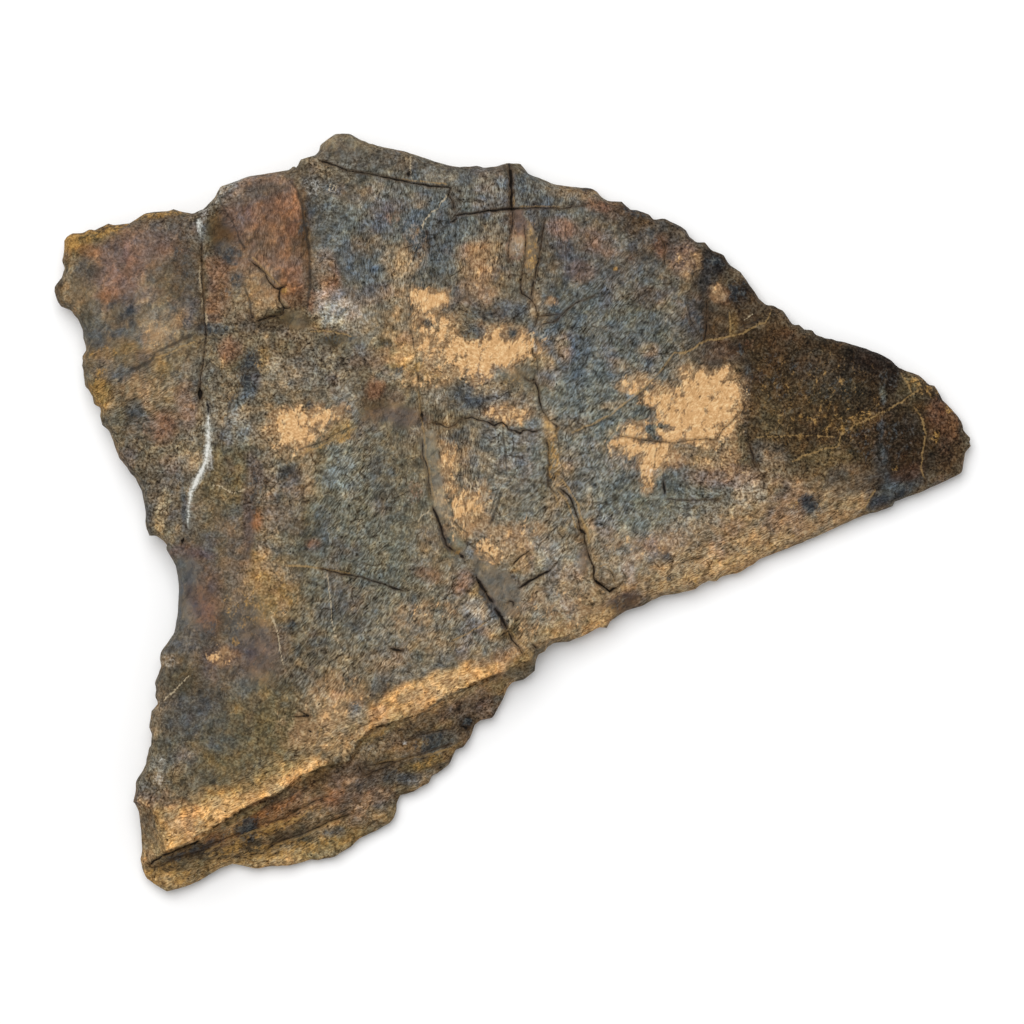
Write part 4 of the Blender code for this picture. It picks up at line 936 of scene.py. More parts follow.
class Line:
    """A crack, seam or scratch: its path, and its half width along it."""

    def __init__(self, seed, width, places, depth=0.0):
        self.path = wandering(places, seed)
        self.gone, self.half = half_widths(self.path, width, seed)
        self.depth = depth * MM

    def strength(self, places, reach):
        """Half width less distance, in pixels: above 0 in the line. Beyond reach it is -reach."""
        found = np.full(len(places), -reach)
        near, off, way = along_line(places, self.path, reach)
        half = np.interp(way, self.gone, self.half)
        found[near] = np.maximum(half - off, -reach)
        return found, near, off, half

    def rows(self):
        """Places in rows along the line: its middle, its lips and just outside them."""
        across = aside(np.gradient(self.path, axis=0))
        lip = np.maximum(self.half, LEAST_LIP)[:, None]
        rows = [self.path]
        for side, reach in itertools.product((-1, 1), (lip, lip + LIP_STEP)):
            rows.append(self.path + across * side * reach)
        return np.vstack(rows)


def merged(node):
    """The CAD solid's corners, each once, and its triangles."""
    mesh = node.data
    mesh.calc_loop_triangles()
    corners = np.empty(len(mesh.vertices) * 3, np.float32)
    mesh.vertices.foreach_get("co", corners)
    triangles = np.empty(len(mesh.loop_triangles) * 3, np.int32)
    mesh.loop_triangles.foreach_get("vertices", triangles)
    rounded = np.round(corners.reshape(-1, 3).astype(float), 6)
    places, which = np.unique(rounded, axis=0, return_inverse=True)
    return places, which.reshape(-1)[triangles].reshape(-1, 3)


def outline_of(corners, triangles):
    """The solid's outline seen from above, anticlockwise: the border of its flattened triangles."""
    sides = np.vstack([triangles[:, [0, 1]], triangles[:, [1, 2]], triangles[:, [2, 0]]])
    flat = [Vector(corner[:2]) for corner in corners]
    found = delaunay_2d_cdt(flat, sides.tolist(), [], 1, 1e-7)
    edges = {(a, b) for face in found[2] for a, b in zip(face, face[1:] + face[:1])}
    after = {a: b for a, b in edges if (b, a) not in edges}
    ring = [min(after)]
    while after[ring[-1]] != ring[0]:
        ring.append(after[ring[-1]])
    return np.array([tuple(found[0][i]) for i in ring])


def evenly_spaced(ring, step):
    """A closed ring's points, this far apart."""
    closed = np.vstack([ring, ring[:1]])
    gone = way_along(closed)
    way = np.linspace(0.0, gone[-1], int(gone[-1] / step), endpoint=False)
    return points_at(closed, gone, way)


def inwards(ring):
    """The direction into an anticlockwise ring at each of its points."""
    return aside(np.roll(ring, -1, axis=0) - np.roll(ring, 1, axis=0))


def drawn_in(ring, distance):
    """The ring moved inwards bit by bit, smoothed as it goes so that it never crosses itself."""
    moved = ring.copy()
    steps = max(1, round(distance / INSET_STEP))
    for _ in range(steps):
        moved += inwards(moved) * (distance / steps)
        middle = (np.roll(moved, 1, axis=0) + np.roll(moved, -1, axis=0)) / 2
        moved += (middle - moved) * INSET_SMOOTHING
    return moved


def staggered_grid(low, high, step):
    """Points in rows, each row shifted by half a step, as the corners of even triangles."""
    rows = []
    for row, y in enumerate(np.arange(low[1], high[1], step * np.sqrt(0.75))):
        x = np.arange(low[0] + step / 2 * (row % 2), high[0], step)
        rows.append(np.column_stack([x, np.full(len(x), y)]))
    return np.vstack(rows)


def thinned(points, gap):
    """The points in order, leaving out each that is nearer than the gap to one kept before."""
    cells = {}
    kept = []
    for x, y in points.tolist():
        column, row = int(x // gap), int(y // gap)
        around = itertools.product((column - 1, column, column + 1), (row - 1, row, row + 1))
        if all((x - near[0]) ** 2 + (y - near[1]) ** 2 >= gap * gap
               for cell in around for near in cells.get(cell, ())):
            cells.setdefault((column, row), []).append((x, y))
            kept.append((x, y))
    return np.array(kept)


def clear_of(points, others, gap):
    """Those points that lie at least the gap from all the others."""
    tree = KDTree(len(others))
    for index, (x, y) in enumerate(others):
        tree.insert((x, y, 0.0), index)
    tree.balance()
    far = [tree.find((x, y, 0.0))[2] > gap for x, y in points]
    return points[np.array(far)]


def sheet(ring, rows, step):
    """Triangles that fill a ring, with corners at the rows' points and a grid between them.
    Returned are the plan points, the triangles and each ring point's place."""
    inner = ring
    if len(rows):
        rows = thinned(rows, LEAST_GAP * PIXEL)
        rows = clear_of(rows[inside_ring(rows, ring)], ring, LEAST_GAP * PIXEL)
        inner = np.vstack([ring, rows])
    grid = staggered_grid(ring.min(axis=0), ring.max(axis=0), step)
    grid = clear_of(grid[inside_ring(grid, ring)], inner, 0.58 * step)
    corners = [Vector(point) for point in np.vstack([inner, grid])]
    edges = [(i, (i + 1) % len(ring)) for i in range(len(ring))]
    found = delaunay_2d_cdt(corners, edges, [], 1, 1e-7)
    plan = np.array([tuple(point) for point in found[0]])
    place = {source: new for new, sources in enumerate(found[3]) for source in sources}
    return plan, np.array(found[2]), np.array([place[i] for i in range(len(ring))])


# Longest side of a front triangle, and how far the broken wall under the sharp edge is eaten in
LONGEST_SIDE = 3.4 * MM
WALL_BITE = 1.3 * MM
WALL_FACING = np.array([0.45, -0.89, 0.0])


def parted(points, faces):
    """The sheet with a new point in the middle of each long inner side, set a little into it."""
    sides = np.sort(np.vstack([faces[:, [0, 1]], faces[:, [1, 2]], faces[:, [2, 0]]]), axis=1)
    sides, which, uses = np.unique(sides, axis=0, return_inverse=True, return_counts=True)
    ends = points[sides]
    parts = (np.linalg.norm(ends[:, 0] - ends[:, 1], axis=1) > LONGEST_SIDE) & (uses == 2)
    middle = np.full(len(sides), -1)
    middle[parts] = len(points) + np.arange(parts.sum())
    spots = ends[parts].mean(axis=1)
    bite = lumpy(spots, 95, WALL_BITES, 0.5)
    spots -= WALL_FACING * (WALL_BITE * np.clip(bite, 0.0, 1.0))[:, None]
    made = []
    for face, new in zip(faces.tolist(), middle[which.reshape(3, -1).T].tolist()):
        corners = [corner for pair in zip(face, new) for corner in pair if corner >= 0]
        first = corners.index(max(new)) if max(new) >= 0 else 0
        corners = corners[first:] + corners[:first]
        made += [(corners[0], corners[i], corners[i + 1]) for i in range(1, len(corners) - 1)]
    return np.vstack([points, spots]), np.array(made)


# The CAD solid's surface is read on a grid of lines straight down or up, and made smooth
SURVEY_STEP = 2.0 * MM
SURVEY_BLUR = 4.5 * MM


def blurred(grid, blur):
    """A grid of values with each spread over its neighbours."""
    reach = int(3 * blur) + 1
    spread = np.exp(-0.5 * (np.arange(-reach, reach + 1) / blur) ** 2)
    spread /= spread.sum()
    for axis in (0, 1):
        grid = np.apply_along_axis(np.convolve, axis, grid, spread, mode="same")
    return grid


class Survey:
    """The CAD solid's heights, seen from above or below, as a smooth function of plan points."""

    def __init__(self, tree, from_above):
        margin = 4 * SURVEY_STEP
        self.low = np.array([cad_low.x - margin, cad_low.y - margin])
        counts = ((np.array([cad_high.x, cad_high.y]) + margin - self.low) / SURVEY_STEP).astype(int)
        start = cad_high.z + margin if from_above else cad_low.z - margin
        look = Vector((0, 0, -1 if from_above else 1))
        self.heights = np.zeros((counts[1], counts[0]))
        self.hit = np.zeros_like(self.heights)
        for row, column in np.ndindex(*self.heights.shape):
            x, y = self.low + np.array([column, row]) * SURVEY_STEP
            place = tree.ray_cast(Vector((x, y, start)), look)[0]
            if place is not None:
                self.heights[row, column] = place.z
                self.hit[row, column] = 1.0
        rows, columns = np.indices(self.heights.shape)
        self.points = self.low + np.column_stack([columns.ravel(), rows.ravel()]) * SURVEY_STEP

    def smooth(self, wanted=None):
        """The heights, blurred over those survey points that are wanted."""
        weight = self.hit if wanted is None else self.hit * wanted(self.points).reshape(self.hit.shape)
        blur = SURVEY_BLUR / SURVEY_STEP
        near = blurred(weight, blur)
        total = blurred(self.heights * weight, blur)
        wide = blurred(self.heights * weight, 4 * blur) / np.maximum(blurred(weight, 4 * blur), 1e-9)
        grid = np.where(near > 1e-3, total / np.maximum(near, 1e-3), wide)
        return lambda points: self.sampled(grid, points)

    def sampled(self, grid, points):
        scaled = (points - self.low) / SURVEY_STEP
        base = np.floor(scaled).astype(int)
        base = np.clip(base, 0, np.array(grid.shape[::-1]) - 2)
        part = scaled - base
        column, row = base.T
        upper = grid[row, column] * (1 - part[:, 0]) + grid[row, column + 1] * part[:, 0]
        lower = grid[row + 1, column] * (1 - part[:, 0]) + grid[row + 1, column + 1] * part[:, 0]
        return upper * (1 - part[:, 1]) + lower * part[:, 1]


def on_broken_side(places):
    """Whether each place lies on the broken, layered side, below the front's sharp edge."""
    edge = np.array(FRONT_EDGE, float)
    edge_at = np.interp(places[:, 0], edge[:, 0], edge[:, 1])
    return (places[:, 0] < edge[-1, 0]) & (places[:, 1] > edge_at)


def front_relief(places, lines):
    """How far the fine shape of the front stands above its smooth swell, in metres."""
    moved = warped(places)
    broken = on_broken_side(places)
    rise = lumpy(places, 51, FRONT_LUMPS)
    for height, softness, ring in RAISED_PIECES:
        rise += height * MM * share_in_ring(moved, ring, to_pixels(softness))
    for depth, half, line in CHANNELS:
        near, off, _ = along_line(moved, line, 3 * to_pixels(half))
        rise[near] -= depth * MM * np.exp(-((off / to_pixels(half)) ** 2))
    rise += broken * layered_relief(places)
    for line in lines:
        if not line.depth:
            continue
        _, near, off, half = line.strength(places, LINE_REACH)
        share = np.clip(1.0 - off / half, 0.0, 1.0)
        rise[near] -= line.depth * share ** CRACK_FULLNESS
        rise[near] -= DIP_DEPTH * np.exp(-((off / DIP_HALF) ** 2))
    return rise


def layered_relief(places):
    """Thin broken layers that run along the front's sharp edge, each a small step down."""
    near, off, _ = along_line(places, FRONT_EDGE, 140.0)
    rise = np.zeros(len(places))
    across = lumpy(places[near], 61, LAYER_BENDS, off)
    for period, height in LAYERS:
        share = (across / period) % 1.0
        rise[near] += height * MM * (0.5 - smooth_step(share * 1.4))
    return rise + lumpy(places, 63, BROKEN_LUMPS)


def all_lines():
    """The cracks, dark lines, seams and scratches as drawn lines, by kind."""
    seeds = itertools.count(1)
    kinds = {"crack": [Line(next(seeds), width, places, depth)
                       for width, depth, places in OPEN_CRACKS]}
    for kind, drawn in (("dark line", DARK_LINES), ("seam", OCHRE_SEAMS), ("scratch", PALE_LINES),
                        ("lime", LIME_LINES)):
        kinds[kind] = [Line(next(seeds), width, places) for width, places in drawn]
    return kinds


def skin():
    """One closed skin: the front sheet, the rough edge's rows and the back sheet. Returned are
    its points, its triangles, and how far round the edge each point is: 0 front, 1 rim, 2 back."""
    corners, triangles = merged(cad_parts["frill"])
    tree = BVHTree.FromPolygons(corners.tolist(), triangles.tolist())
    rim = evenly_spaced(outline_of(corners, triangles), RIM_STEP)
    rim += inwards(rim) * (lumpy(rim, 71, RIM_NICKS) * MM)[:, None]
    shoulder = drawn_in(rim, SHOULDER_INSET)
    foot = drawn_in(rim, FOOT_INSET)

    lines = all_lines()
    drawn = [line for kind in lines.values() for line in kind]
    edge = Line(0, 1.0, FRONT_EDGE)
    rows = to_metres(np.vstack([edge.rows()] + [line.rows() for line in drawn]))
    front_plan, front_faces, front_ring = sheet(shoulder, rows, GRID_STEP * PIXEL)
    back_plan, back_faces, back_ring = sheet(foot, [], BACK_STEP)

    above = Survey(tree, True)
    whole = above.smooth(lambda points: ~on_broken_side(to_places(points)))
    fallen = above.smooth(lambda points: on_broken_side(to_places(points)))
    below = Survey(tree, False).smooth()

    def front(points):
        places = to_places(points)
        swell = np.where(on_broken_side(places), fallen(points), whole(points))
        return swell + front_relief(places, drawn)

    front_points = np.column_stack([front_plan, front(front_plan)])
    for _ in range(2):
        front_points, front_faces = parted(front_points, front_faces)
    back_rise = BACK_RISE * lumpy(back_plan, 81, BACK_LUMPS)
    back_points = np.column_stack([back_plan, below(back_plan) + np.maximum(back_rise, 0.0)])
    shoulder_points = front_points[front_ring]
    foot_points = back_points[back_ring]
    share = lumpy(rim, 73, [RIM_WAVE], RIM_SHARE)
    rim = np.column_stack([rim, foot_points[:, 2] + (shoulder_points - foot_points)[:, 2] * share])

    points = [front_points]
    ring_places = [front_ring]
    round_edge = [np.zeros(len(front_points))]
    start = len(front_points)
    turns = np.linspace(0.0, 2.0, 2 * BAND_ROWS + 1)[1:-1]
    into = np.column_stack([inwards(rim[:, :2]), np.zeros(len(rim))])
    for turn in turns:
        end = shoulder_points if turn <= 1.0 else foot_points
        angle = (1.0 - turn if turn <= 1.0 else turn - 1.0) * np.pi / 2
        ring = rim + (end - rim) * (1.0 - np.cos(angle))
        ring[:, 2] = rim[:, 2] + (end[:, 2] - rim[:, 2]) * np.sin(angle)
        bite = np.minimum(1.0, 3.0 * abs(turn - 1.0)) * np.minimum(1.0, 4.0 * min(turn, 2.0 - turn))
        rough = lumpy(ring, 91, [COARSE_BITES], 0.9)
        rough = lumpy(ring * FLATTENED, 92, [FINE_BITES], rough)
        ring += into * (bite * MM * np.maximum(rough, 0.0))[:, None]
        ring_places.append(start + np.arange(len(ring)))
        round_edge.append(np.full(len(ring), turn))
        points.append(ring)
        start += len(ring)
    ring_places.append(start + back_ring)
    round_edge.append(np.full(len(back_points), 2.0))
    points.append(back_points)

    faces = [front_faces, start + back_faces[:, ::-1]]
    for upper, lower in zip(ring_places, ring_places[1:]):
        upper_next = np.roll(upper, -1)
        lower_next = np.roll(lower, -1)
        faces.append(np.column_stack([upper, lower, upper_next]))
        faces.append(np.column_stack([upper_next, lower, lower_next]))
    points = np.clip(np.vstack(points), np.array(cad_low), np.array(cad_high))
    return points, np.vstack(faces), np.concatenate(round_edge), lines


# The front is painted place by place with the soft marks of the lists above
BARE_BONE = "earth"
PAINT_LEVEL = 0.845
MOST_TAN = 1.1
LEAST_GRAIN = 0.15
# Irregular patches in which the bone is tinted towards a colour: colour, size in pixels,
# strength, level of the random lumps where a patch starts, and how sharply
MOTTLES = (
    ("slate", 34.0, 0.35, 0.05, 1.4),
    ("sand", 27.0, 0.4, 0.15, 1.8),
    ("smoke", 19.0, 0.45, 0.15, 2.0),
    ("rose", 21.0, 0.25, 0.2, 2.4),
    ("moss", 14.0, 0.4, 0.25, 2.6),
    ("tan", 12.0, 0.3, 0.25, 2.6),
    ("slate", 9.0, 0.3, 0.2, 2.6),
)
# The back was never seen: large random stains of the same minerals
BACK_MOTTLES = (
    ("olive", 70.0, 0.9, 0.0, 1.2),
    ("steel", 46.0, 0.8, 0.05, 1.4),
    ("sand", 52.0, 0.8, 0.1, 1.6),
    ("rust", 33.0, 0.5, 0.25, 2.0),
    ("ink", 20.0, 0.5, 0.25, 2.4),
    ("tan", 15.0, 0.5, 0.2, 2.4),
)

# Which way the bone's fibres run: direction in degrees, then the oval's centre, half length, half
# width and turn
FIBRE_DIRECTIONS = (25.0, 52.0, 88.0)
FIBRE_MARKS = [
    (25.0, 740, 552, 170, 34, 24), (25.0, 415, 695, 130, 24, 21), (25.0, 235, 800, 100, 30, 27),
    (25.0, 300, 830, 190, 30, 25), (25.0, 130, 380, 60, 50), (52.0, 370, 540, 75, 140),
    (52.0, 620, 350, 110, 100), (52.0, 590, 500, 80, 70), (52.0, 480, 610, 70, 50),
    (52.0, 320, 650, 70, 50), (88.0, 510, 230, 90, 60), (88.0, 400, 250, 60, 90), (88.0, 275, 235, 40, 60),
    (88.0, 440, 470, 50, 80),
]

# Where the fibres show less: change of their strength in percent, centre, half length and half
# width
GRAIN_MARKS = [
    (-58, 130, 300, 75, 80), (-45, 272, 240, 45, 62), (-45, 210, 660, 70, 120), (-20, 220, 500, 40, 60),
    (-30, 190, 590, 24, 44),
]


def linear(colour):
    """An sRGB hex colour in linear light."""
    parts = [int(colour[i:i + 2], 16) / 255 for i in (1, 3, 5)]
    return [part / 12.92 if part <= 0.04045 else ((part + 0.055) / 1.055) ** 2.4 for part in parts]


PAINT_TONES = {name: np.array(linear(colour)) for name, colour in PAINT_COLOURS.items()}


def oval(places, x, y, half_length, half_width, turn=0.0):
    """A soft oval mark: the places it reaches, and its strength there, 1 inside to 0."""
    angle = np.radians(turn)
    across, down = (places - (x, y)).T
    along = (across * np.cos(angle) - down * np.sin(angle)) / half_length
    aside = (across * np.sin(angle) + down * np.cos(angle)) / half_width
    strength = smooth_step(1.5 - np.hypot(along, aside))
    near = np.flatnonzero(strength)
    return near, strength[near]


def stained(places, marks, colours):
    """The colours with soft ovals of other colours laid over them."""
    for name, percent, *mark in marks:
        near, share = oval(places, *mark)
        colours[near] += (PAINT_TONES[name] - colours[near]) * (share * (percent / 100))[:, None]
    return colours


def mottled(places, mottles, colours):
    """The colours tinted in irregular patches, so that dark bone stays dark."""
    for number, (name, size, strength, start, sharpness) in enumerate(mottles):
        level = lumps(places, size, 100 + number) + 0.35 * lumps(places, size / 3, 120 + number)
        share = strength * smooth_step((level - start) * sharpness)[:, None]
        colours *= 1.0 + share * (PAINT_TONES[name] / PAINT_TONES[BARE_BONE] - 1.0)
    return colours


def laid_on(places, areas, colours):
    """The colours with clear-edged areas of other colours laid over them, and how far they are."""
    covered = np.zeros(len(places))
    for name, softness, strength, ring in areas:
        share = strength * share_in_ring(places, ring, softness)
        covered = np.maximum(covered, share)
        colours += (PAINT_TONES[name] - colours) * share[:, None]
    return colours, covered


def coverage(places, marks):
    """How much of the bone a mineral, or the painted shade among the dark marks, covers at each
    place, from 0 to about 1.
    """
    total = np.zeros(len(places))
    for percent, *mark in marks:
        near, share = oval(places, *mark)
        total[near] += share * (percent / 100)
    return total


def paint(points, round_edge, lines):
    """Every painted value of the skin by name: colours have three columns."""
    places = to_places(points)
    moved = warped(places)
    broken = on_broken_side(moved)
    backwards = smooth_step(round_edge - 1.0)[:, None]

    bare = PAINT_TONES[BARE_BONE]
    stain_and_painted_light = stained(moved, WASHES, np.tile(bare, (len(places), 1)))
    stain_and_painted_light, _ = laid_on(moved, AREAS, stain_and_painted_light)
    stain_and_painted_light = stained(moved, STAINS_AND_PAINTED_LIGHT, stain_and_painted_light)
    side = stained(moved, BROKEN_STAINS, stain_and_painted_light.copy())
    stain_and_painted_light[broken] = side[broken]
    stain_and_painted_light *= PAINT_LEVEL
    stain_and_painted_light = mottled(moved, MOTTLES, stain_and_painted_light)
    stain_and_painted_light, filled = laid_on(moved, FILLED_AREAS, stain_and_painted_light)
    back = mottled(points / PIXEL, BACK_MOTTLES, np.tile(PAINT_LEVEL * bare, (len(places), 1)))
    stain_and_painted_light += (back - stain_and_painted_light) * backwards

    painted = {"stain_and_painted_light": stain_and_painted_light}
    tan = coverage(moved, TAN_MARKS)
    for softness, strength, ring in TAN_PATCHES + TAN_CREST:
        tan += strength * share_in_ring(moved, ring, softness)
    minerals = {"tan": np.minimum(tan, MOST_TAN)}
    # the dark layer carries painted shade as well as the blue-black stain
    for name, marks in (("rust", RUST_MARKS), ("ochre", OCHRE_MARKS), ("dark", DARK_MARKS),
                        ("fill", FILL_MARKS)):
        minerals[name] = coverage(moved, marks)
    minerals["chalk"] = coverage(places, CHALK_MARKS)
    minerals["fill"] = np.maximum(minerals["fill"], filled)
    for name, values in minerals.items():
        painted[name] = values * (1.0 - backwards[:, 0])

    for kind, drawn in lines.items():
        found = np.full(len(places), -LINE_REACH)
        for line in drawn:
            found = np.maximum(found, line.strength(places, LINE_REACH)[0])
        painted[kind] = np.where(round_edge < 1.0, found, -LINE_REACH)

    fibres = np.zeros((len(places), 3))
    for direction, *mark in FIBRE_MARKS:
        near, share = oval(moved, *mark)
        fibres[near, FIBRE_DIRECTIONS.index(direction)] += share
    painted["fibres"] = fibres / np.maximum(1.0, fibres.sum(axis=1))[:, None]
    painted["grain"] = np.clip(1.0 + coverage(moved, GRAIN_MARKS), LEAST_GRAIN, 1.0)
    return painted


def frill_mesh():
    points, faces, round_edge, lines = skin()
    mesh = bpy.data.meshes.new("fossil_frill")
    mesh.from_pydata(points.tolist(), [], faces.tolist())
    mesh.shade_smooth()
    for name, values in paint(points, round_edge, lines).items():
        if values.ndim == 1:
            layer = mesh.attributes.new(name, "FLOAT", "POINT")
            layer.data.foreach_set("value", values.astype(np.float32))
        else:
            layer = mesh.attributes.new(name, "FLOAT_COLOR", "POINT")
            full = np.column_stack([values, np.ones(len(values))])
            layer.data.foreach_set("color", full.astype(np.float32).ravel())
    mesh.update()
    return mesh


def add(tree, kind, links=None, **settings):
    """Adds a node: each link or value goes to the input of that name or number. Returned are its
    outputs."""
    made = tree.nodes.new("ShaderNode" + kind)
    for name, value in settings.items():
        setattr(made, name, value)
    for name, value in (links or {}).items():
        if isinstance(value, bpy.types.NodeSocket):
            tree.links.new(value, made.inputs[name])
        else:
            made.inputs[name].default_value = value
    return made.outputs


# Mineral layers over the stained bone, the dark one also laying painted shade where its marks
# say so: name, length and width of its ragged edge in millimetres, how ragged, how far its edge
# is drawn in, how soft, strength, and dark, middle and light tones
MINERALS = (
    ("rust", 7.0, 5.0, 2.4, 0.00, 0.34, 0.55, "#54392b", "#7c563f", "#9c785b"),
    ("ochre", 6.0, 4.0, 2.4, 0.00, 0.26, 0.75, "#5a4526", "#94703a", "#c79d5a"),
    ("dark", 6.0, 4.0, 2.4, 0.00, 0.26, 0.80, "#15181b", "#2b3136", "#5a5d5a"),
    ("tan", 12.0, 9.0, 2.6, -0.16, 0.40, 0.75, "#6a5138", "#947350", "#b39a76"),
    ("tan", 8.0, 5.0, 3.4, 0.22, 0.24, 0.92, "#b08757", "#cfa371", "#e6c695"),
    ("chalk", 4.0, 1.2, 0.6, 0.04, 0.40, 0.95, "#b5b3ab", "#cfcdc6", "#ecebe6"),
)
# Lines: name, value where they start and where they are full, strength and colour
DRAWN_LINES = (
    ("lime", -3.6, 1.2, 0.45, "#aeb0a6"),
    ("lime", -0.9, 1.4, 0.75, "#dddcd6"),
    ("scratch", -0.5, 0.5, 0.50, "#c9b797"),
    ("seam", -0.9, 0.9, 0.66, "#9a7d50"),
    ("dark line", -0.7, 0.7, 0.65, "#241f1b"),
    ("crack", -2.4, 0.2, 0.45, "#4a3724"),
    ("crack", -0.1, 0.8, 0.92, "#15110e"),
)
# Crisp patches where a thin layer flaked off or soaked up more: length and width in millimetres,
# noise level where they start and are full, strength, and what the bone is multiplied by
PATCHES = (
    (24.0, 15.0, 0.50, 0.55, 0.65, (0.76, 0.79, 0.82)),
    (14.0, 9.0, 0.54, 0.58, 0.65, (1.38, 1.31, 1.16)),
    (9.0, 6.0, 0.55, 0.59, 0.70, (0.60, 0.62, 0.64)),
    (6.0, 4.0, 0.56, 0.60, 0.60, (1.42, 1.38, 1.27)),
    (5.0, 3.2, 0.56, 0.61, 0.65, (0.56, 0.55, 0.54)),
)
PATCH_TURN = 62.0
# Small clouds in which the bone is cooler or warmer
CLOUD_SIZE = 7.0 * MM
COOL_CLOUD = (0.93, 0.99, 1.03, 1.0)
WARM_CLOUD = (1.12, 1.02, 0.88, 1.0)
# How far apart the patterns of one patch or mineral and the next are taken, in metres
PATCH_SHIFT = 0.11
MINERAL_SHIFT = 0.13
# Fine structure: fibres, lumps, curls, pits and hairlines, at their real sizes
FIBRE_LONG = 3.3 * MM
FIBRE_WIDE = 0.92 * MM
LUMP_SIZE = 3.6 * MM
SWIRL_SIZE = 8.0 * MM
SWIRL_REACH = 1.8 * MM
PIT_SPACING = 3.2 * MM
HAIRLINE_LONG = 24.0 * MM
HAIRLINE_WIDE = 11.0 * MM
HAIRLINE_BEND = 6.0 * MM
LUMP_SHARE = 0.38
# A light thread lies where the fibre noise is at this level, and its strength is
THREAD_LEVEL = 0.55
THREAD_STRENGTH = 0.50
# Pits and grains of grit: chance above which a cell has one, its greatest size in cells, and how
# soft its edge is
PITS = (0.80, 0.26)
GRIT = (0.80, 0.20)
SPECK_EDGE = 0.07
# How far the grain of the bone breaks up the edge of a mineral layer
LACE = 1.2
MINERAL_TURN = 75.0
# How far a drawn line's edge follows the fibres, in pixels
LINE_FRAYING = 5.0
# Levels between which a value rises from none to full, or falls where the second is the lower
LIGHT = {"From Min": 0.50, "From Max": 0.655}
PORES = {"From Min": 0.505, "From Max": 0.35}
THREADS = {"From Min": 0.035, "From Max": 0.0}
THREAD_PLACES = {"From Min": 0.42, "From Max": 0.62}
HAIRLINES = {"From Min": 0.04, "From Max": 0.005}
HAIRLINE_PLACES = {"From Min": 0.49, "From Max": 0.42}
CLOUDS = {"From Min": 0.36, "From Max": 0.64}
FILLED = {"From Min": 0.2, "From Max": 0.6, "To Max": 0.8}
MINERAL_PLACES = {"From Min": 0.02, "From Max": 0.22}
ROUGHNESS = {"From Min": 0.3, "From Max": 0.7, "To Min": 0.86, "To Max": 0.66}
# What the bone is multiplied by in its dark pores, and where it is worn to lighter bone
PORE_SHADE = (0.13, 0.105, 0.08, 1.0)
WORN_SHADE = (1.92, 2.14, 2.42, 1.0)
HAIRLINE_SHADE = (0.36, 0.32, 0.28, 1.0)
# A trace of pale dust on worn bone
DUST = "#dcd2c4"
DUST_SHARE = 0.03
# Height of the fine relief, and how deep a hairline lies in it
BUMP_HEIGHT = 1.0 * MM
HAIRLINE_DEPTH = 0.3
# Settings of nodes: colours mixed or multiplied, soft start and end, stretched pattern, sums
MIXED = {"data_type": "RGBA"}
MULTIPLIED = {"data_type": "RGBA", "blend_type": "MULTIPLY"}
SOFT_ENDS = {"interpolation_type": "SMOOTHSTEP"}
STRETCHED = {"vector_type": "TEXTURE"}
SCALED_SUM = {"operation": "MULTIPLY_ADD"}


